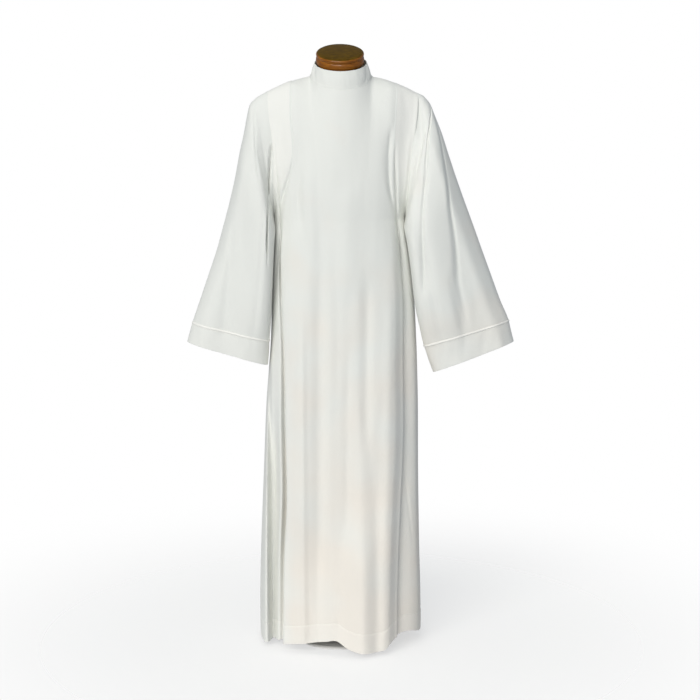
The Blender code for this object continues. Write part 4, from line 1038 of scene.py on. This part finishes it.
def makeCuff(side, rings):
    # the band, turned in at its edge with its facing run up inside
    band = (rings[-1][0] - rings[0][0]).length
    normals = gridNormals(rings, closed=True)
    scaleX, scaleY, scaleZ = cuffs["waveScale"]

    def at(share, out):
        place = share * (len(rings) - 1)
        k = min(max(int(place), 0), len(rings) - 2)
        made = []
        for p, q, n in zip(rings[k], rings[k + 1], normals[k]):
            point = p.lerp(q, place - k)
            wave = noise.noise(Vector((point.x * scaleX, point.y * scaleY,
                                       point.z * scaleZ + cuffs["waveSeed"])))
            made.append(point + n * (out + cuffs["waves"] * wave * ramp(share, *cuffs["waveZone"])))
        return made

    shares = [i / cuffs["rows"] for i in range(1, cuffs["rows"] + 1)]
    outer = [at(share, 0.0) for share in [seamGap / band] + shares]
    deep = cuffs["insideDepth"]
    down = (rings[-1][0] - rings[-2][0]).normalized() * cuffs["edgeDrop"]
    edge = [[p + down * drop - n * deep * part for p, n in zip(rings[-1], normals[-1])]
            for part, drop in reversed(foldedEdge)]
    inner = [at(share, -deep) for share in reversed(shares)]
    piece = clothPiece("cuff_band_" + side + "_cloth", outer + edge + inner, True, poplin,
                       body["thickness"], lambda i, j: cuffs["tint"]["band"])
    standFor(piece, "cuff_band_" + side)
    # the trim is a flat strip with rounded edges that covers the seam
    strip = [at(along / band, out) for along, out in cuffs["trimShape"]]
    trim = clothPiece("cuff_trim_" + side + "_cloth", strip, True, poplin, cuffs["trimThickness"],
                      lambda i, j: cuffs["tint"]["trim"])
    standFor(trim, "cuff_trim_" + side)
    return piece, trim, at, band


cuffPlaces = {}
for side in ("right", "left"):
    sleeve, cuffRings = makeSleeve(side)
    cuff, trim, at, band = makeCuff(side, cuffRings)
    cuffPlaces[side] = (at, band)
    print(side, "sleeve made", len(sleeve.data.vertices), "points")


collarBand = {
    "topWidth": 0.066,
    "topDepth": 0.065,
    "topCentre": -0.013,
    "topHeight": 1.5155,
    "topTilt": 0.30,
    "endAngle": 61,           # where the outer end lies, in degrees from the front
    "lapAngle": 24,
    "lapStep": 0.0017,
    "inset": 0.0020,
    "footInset": 0.0006,      # its foot turns out to the neck seam
    "footShare": 0.06,        # within this share of its height
    "swell": 0.0012,
    "creases": 0.0009,
    "creaseFade": 1.15,
    # share of the size, degrees round, waves up the height, seed
    "creaseWaves": ((1.0, 11, 1.3, 3.0), (0.6, 4.5, 2.2, 9.0)),
    "foldZones": ((0, 0.3), (1.25, -0.5)),
    "rim": 0.0004,
    "rimSharp": math.radians(60),
    "thickness": 0.0012,      # two layers and the stiffening
    "columns": 240,
    "rows": 28,
    "tuckRows": 2,            # the allowance tucked in below the neck seam
    "tuck": (0.0013, 0.0016),               # in and down to each of its rows
    "lapSoft": (14, 12),      # degrees before the lap, and over which it rises
    "stitchedAt": (0.09, 0.91),
    # soft folds: degrees round at the foot and at the top, width in degrees, lift in m
    "folds": [(52, 74, 5.0, -0.0022), (70, 82, 4.5, 0.0018), (86, 90, 6.0, -0.0024), (-58, -76, 5.0,
        -0.0022), (-74, -86, 5.0, 0.0016), (128, 120, 8.0, -0.0018), (-125, -130, 9.0, 0.0016)],
}


def makeCollar():
    steps, high = collarBand["columns"], collarBand["rows"]
    end = math.radians(collarBand["endAngle"])
    begin = end - math.radians(360 + collarBand["lapAngle"])
    before, over = collarBand["lapSoft"]
    lapStart = collarBand["endAngle"] - collarBand["lapAngle"] - before
    tuckIn, tuckDown = collarBand["tuck"]
    rising, falling = collarBand["foldZones"]
    rows = []
    for j in range(-collarBand["tuckRows"], high + 1):
        share, tuck = max(j, 0) / high, max(-j, 0)
        row = []
        for i in range(steps + 1):
            angle = mix(begin, end, i / steps)
            degrees = math.degrees(angle)
            low = neckPoint(angle)
            on = Vector((low.x, low.y, 0)).normalized()
            y = collarBand["topCentre"] - collarBand["topDepth"] * math.cos(angle)
            upper = Vector((collarBand["topWidth"] * math.sin(angle), y,
                            collarBand["topHeight"] + collarBand["topTilt"] * y))
            inPlane = on + Vector((0, 0, body["neckTilt"] * on.y))
            foot = low - inPlane * collarBand["footInset"]
            low += Vector((0, 0, seamGap)) - inPlane * collarBand["inset"]
            point = low.lerp(upper, share)
            point += (foot - low) * math.exp(-share / collarBand["footShare"])
            point += on * (collarBand["lapStep"] * ramp(degrees, lapStart, over))
            point += on * (collarBand["swell"] * math.sin(math.pi * share))
            crease = sum(size * noise.noise(Vector((degrees / wide, share * waves, seed)))
                         for size, wide, waves, seed in collarBand["creaseWaves"])
            faded = math.sin(math.pi * min(share * collarBand["creaseFade"], 1.0))
            point += on * (collarBand["creases"] * crease * faded)
            for atFoot, atTop, width, lift in collarBand["folds"]:
                away = (degrees - mix(atFoot, atTop, share) + 180) % 360 - 180
                lift *= math.exp(-((away / width) ** 2))
                point += on * (lift * ramp(share, *rising) * ramp(share, *falling))
            row.append(point - on * (tuckIn * tuck) - Vector((0, 0, tuckDown * tuck)))
        rows.append(row)
    piece = clothPiece("collar_cloth", rows, False, poplin, collarBand["thickness"])
    rim = piece.modifiers.new("SoftEdge", "BEVEL")
    rim.width = collarBand["rim"]
    rim.segments = 2
    rim.limit_method = "ANGLE"
    rim.angle_limit = collarBand["rimSharp"]
    standFor(piece, "collar_band")
    return rows


collarRows = makeCollar()
print("collar made")


stitching = {
    "length": 0.0023,
    "step": 0.0034,
    "radius": 0.00022,
    "taper": 0.7,
    "sides": 6,
    "shortest": 0.0000001,    # a shorter span of the line is passed over
    "above": 0.00008,         # of the cloth's surface
}


def sewLine(bm, points, normals):
    # short stitches laid end to end along a line on the cloth
    travelled, due = 0.0, stitching["step"] / 2
    for a, b, n in zip(points, points[1:], normals):
        span = (b - a).length
        if span < stitching["shortest"]:
            continue
        while due < travelled + span:
            at = a.lerp(b, (due - travelled) / span)
            along = (b - a).normalized()
            across = n.cross(along).normalized()
            turn = Matrix((across, n, along)).transposed().to_4x4()
            radius = stitching["radius"]
            bmesh.ops.create_cone(bm, cap_ends=True, segments=stitching["sides"],
                                  radius1=radius * stitching["taper"], radius2=radius,
                                  depth=stitching["length"],
                                  matrix=Matrix.Translation(at + n * stitching["above"]) @ turn)
            due += stitching["step"]
        travelled += span


def makeStitches():
    lines = bmesh.new()
    for face in ("front", "back"):
        rows, turned, levels = panelGrids[face]
        normals = gridNormals(rows, closed=False)
        j = turned + nearestRow(levels, body["hemDeep"])
        wide = len(rows[j])
        fold = body["columns"][face][1] + 2
        within = fold + pleatColumns
        for first, last in ((2, fold), (within, wide - within), (wide - fold, wide - 2)):
            sewLine(lines, rows[j][first:last], normals[j][first:last])
    hemLine = meshPiece("hem_stitches", lines, thread)
    lines = bmesh.new()
    for at, band in cuffPlaces.values():
        ring, beyond = [at(away / band, 0.0) for away in cuffs["stitchAt"]]
        ring = ring + ring[:1]
        sewLine(lines, ring, gridNormals([ring, beyond + ring[:1]], closed=False)[0])
    cuffLine = meshPiece("cuff_stitches", lines, thread)
    lines = bmesh.new()
    normals = gridNormals(collarRows, closed=False)
    for share in collarBand["stitchedAt"]:
        j = collarBand["tuckRows"] + round(share * collarBand["rows"])
        sewLine(lines, collarRows[j][2:-2], normals[j][2:-2])
    collarLine = meshPiece("collar_stitches", lines, thread)
    for piece, slot in ((hemLine, "front_panel"), (cuffLine, "cuff_band_left"),
                        (collarLine, "collar_band")):
        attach(piece, "root")


makeStitches()
print("stitches made")


def makeCap():
    bm = bmesh.new()
    corners = [bm.verts.new((radius, 0, height)) for radius, height in cap["profile"]]
    edges = [bm.edges.new(pair) for pair in zip(corners, corners[1:])]
    bmesh.ops.spin(bm, geom=corners + edges, cent=(0, 0, 0), axis=(0, 0, 1), dvec=(0, 0, 0),
                   angle=2 * math.pi, steps=cap["steps"], use_merge=True, use_duplicate=False)
    bmesh.ops.remove_doubles(bm, verts=bm.verts, dist=cap["weld"])
    bmesh.ops.recalc_face_normals(bm, faces=bm.faces)
    tilted = Matrix.Translation(cap["centre"]) @ Matrix.Rotation(cap["tilt"], 4, "X")
    bmesh.ops.transform(bm, matrix=tilted, verts=bm.verts)
    piece = meshPiece("neck_cap_turned", bm, wood)
    piece.data.set_sharp_from_angle(angle=cap["sharp"])
    standFor(piece, "neck_cap")


makeCap()
for node, material in (("form_torso", linen), ("stand_pole", steel), ("stand_base", iron)):
    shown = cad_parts[node]
    for slot in shown.material_slots:
        slot.material = material
print("cap and stand dressed")


studio = {
    "sky": 0.42,
    "sun": 2.22,
    "sunSoft": math.radians(45),
    "sunFrom": Vector((-0.34, -0.84, 0.50)),
    "lamp": 500.0,
    "lampRadius": 0.07,
    "lampAt": Vector((0.0, -2.6, 2.3)),
    "cameraAt": Vector((0.0234, -4.92404, 1.64024)),
    "cameraTilt": math.radians(80),
    "lens": 98.90,
    "sensor": 36,
    "floorRadius": 2.4,
    "floorSides": 96,
    "floorDrop": 0.0002,      # the floor lies just below the stand
    "floorFade": {"From Min": 0.20, "From Max": 1.6, "To Min": 0.4, "To Max": 0.0},
}


def makeFloorPaint():
    # matt painted board, lit to near white, that fades into the white surround at its rim
    material, tree, shader, place = newMaterial("pale_painted_floor")
    away = addNode(tree, "VectorMath", {0: place}, "Value", operation="LENGTH")
    fade = addNode(tree, "MapRange", {"Value": away, **studio["floorFade"]},
                   interpolation_type="SMOOTHERSTEP")
    clear = addNode(tree, "BsdfTransparent", {})
    blend = addNode(tree, "MixShader", {0: fade, 1: clear, 2: shader.outputs["BSDF"]})
    setInputs(tree, tree.nodes["Material Output"], {"Surface": blend})
    setInputs(tree, shader, {"Base Color": toLinear("#fdfcfa"), "Roughness": 1.0})
    return material


def addToStudio(name, data, **settings):
    thing = bpy.data.objects.new(name, data)
    for setting, value in settings.items():
        setattr(thing, setting, value)
    scene.collection.objects.link(thing)
    return thing


def makeStudio():
    bm = bmesh.new()
    bmesh.ops.create_circle(bm, cap_ends=True, segments=studio["floorSides"], radius=studio["floorRadius"])
    floor = meshPiece("floor", bm, makeFloorPaint(), smooth=False)
    floor.location.z = -studio["floorDrop"]

    world = bpy.data.worlds.new("studio")
    world.use_nodes = True
    world.node_tree.nodes.clear()
    tree = world.node_tree
    rays = addNode(tree, "LightPath", {}, "Is Camera Ray")
    sky = addNode(tree, "Background", {"Color": toLinear("#f0f7ff"), "Strength": studio["sky"]})
    backdrop = addNode(tree, "Background", {"Color": (1, 1, 1, 1), "Strength": 1.0})
    seen = addNode(tree, "MixShader", {0: rays, 1: sky, 2: backdrop})
    addNode(tree, "OutputWorld", {"Surface": seen})
    scene.world = world

    sun = bpy.data.lights.new("key", "SUN")
    sun.energy = studio["sun"]
    sun.color = toLinear("#fffdf8")[:3]
    sun.angle = studio["sunSoft"]
    addToStudio("key", sun, rotation_mode="QUATERNION",
                rotation_quaternion=studio["sunFrom"].to_track_quat("Z", "Y"))
    lamp = bpy.data.lights.new("glint", "POINT")      # a small lamp for the glint on the varnish
    lamp.energy = studio["lamp"]
    lamp.shadow_soft_size = studio["lampRadius"]
    addToStudio("glint", lamp, location=studio["lampAt"], visible_diffuse=False)
    camera = bpy.data.cameras.new("camera")
    camera.lens = studio["lens"]
    camera.sensor_width = studio["sensor"]
    scene.camera = addToStudio("camera", camera, location=studio["cameraAt"],
                               rotation_euler=(studio["cameraTilt"], 0, 0))
    scene.view_settings.view_transform = "Standard"


makeStudio()
print("studio made")
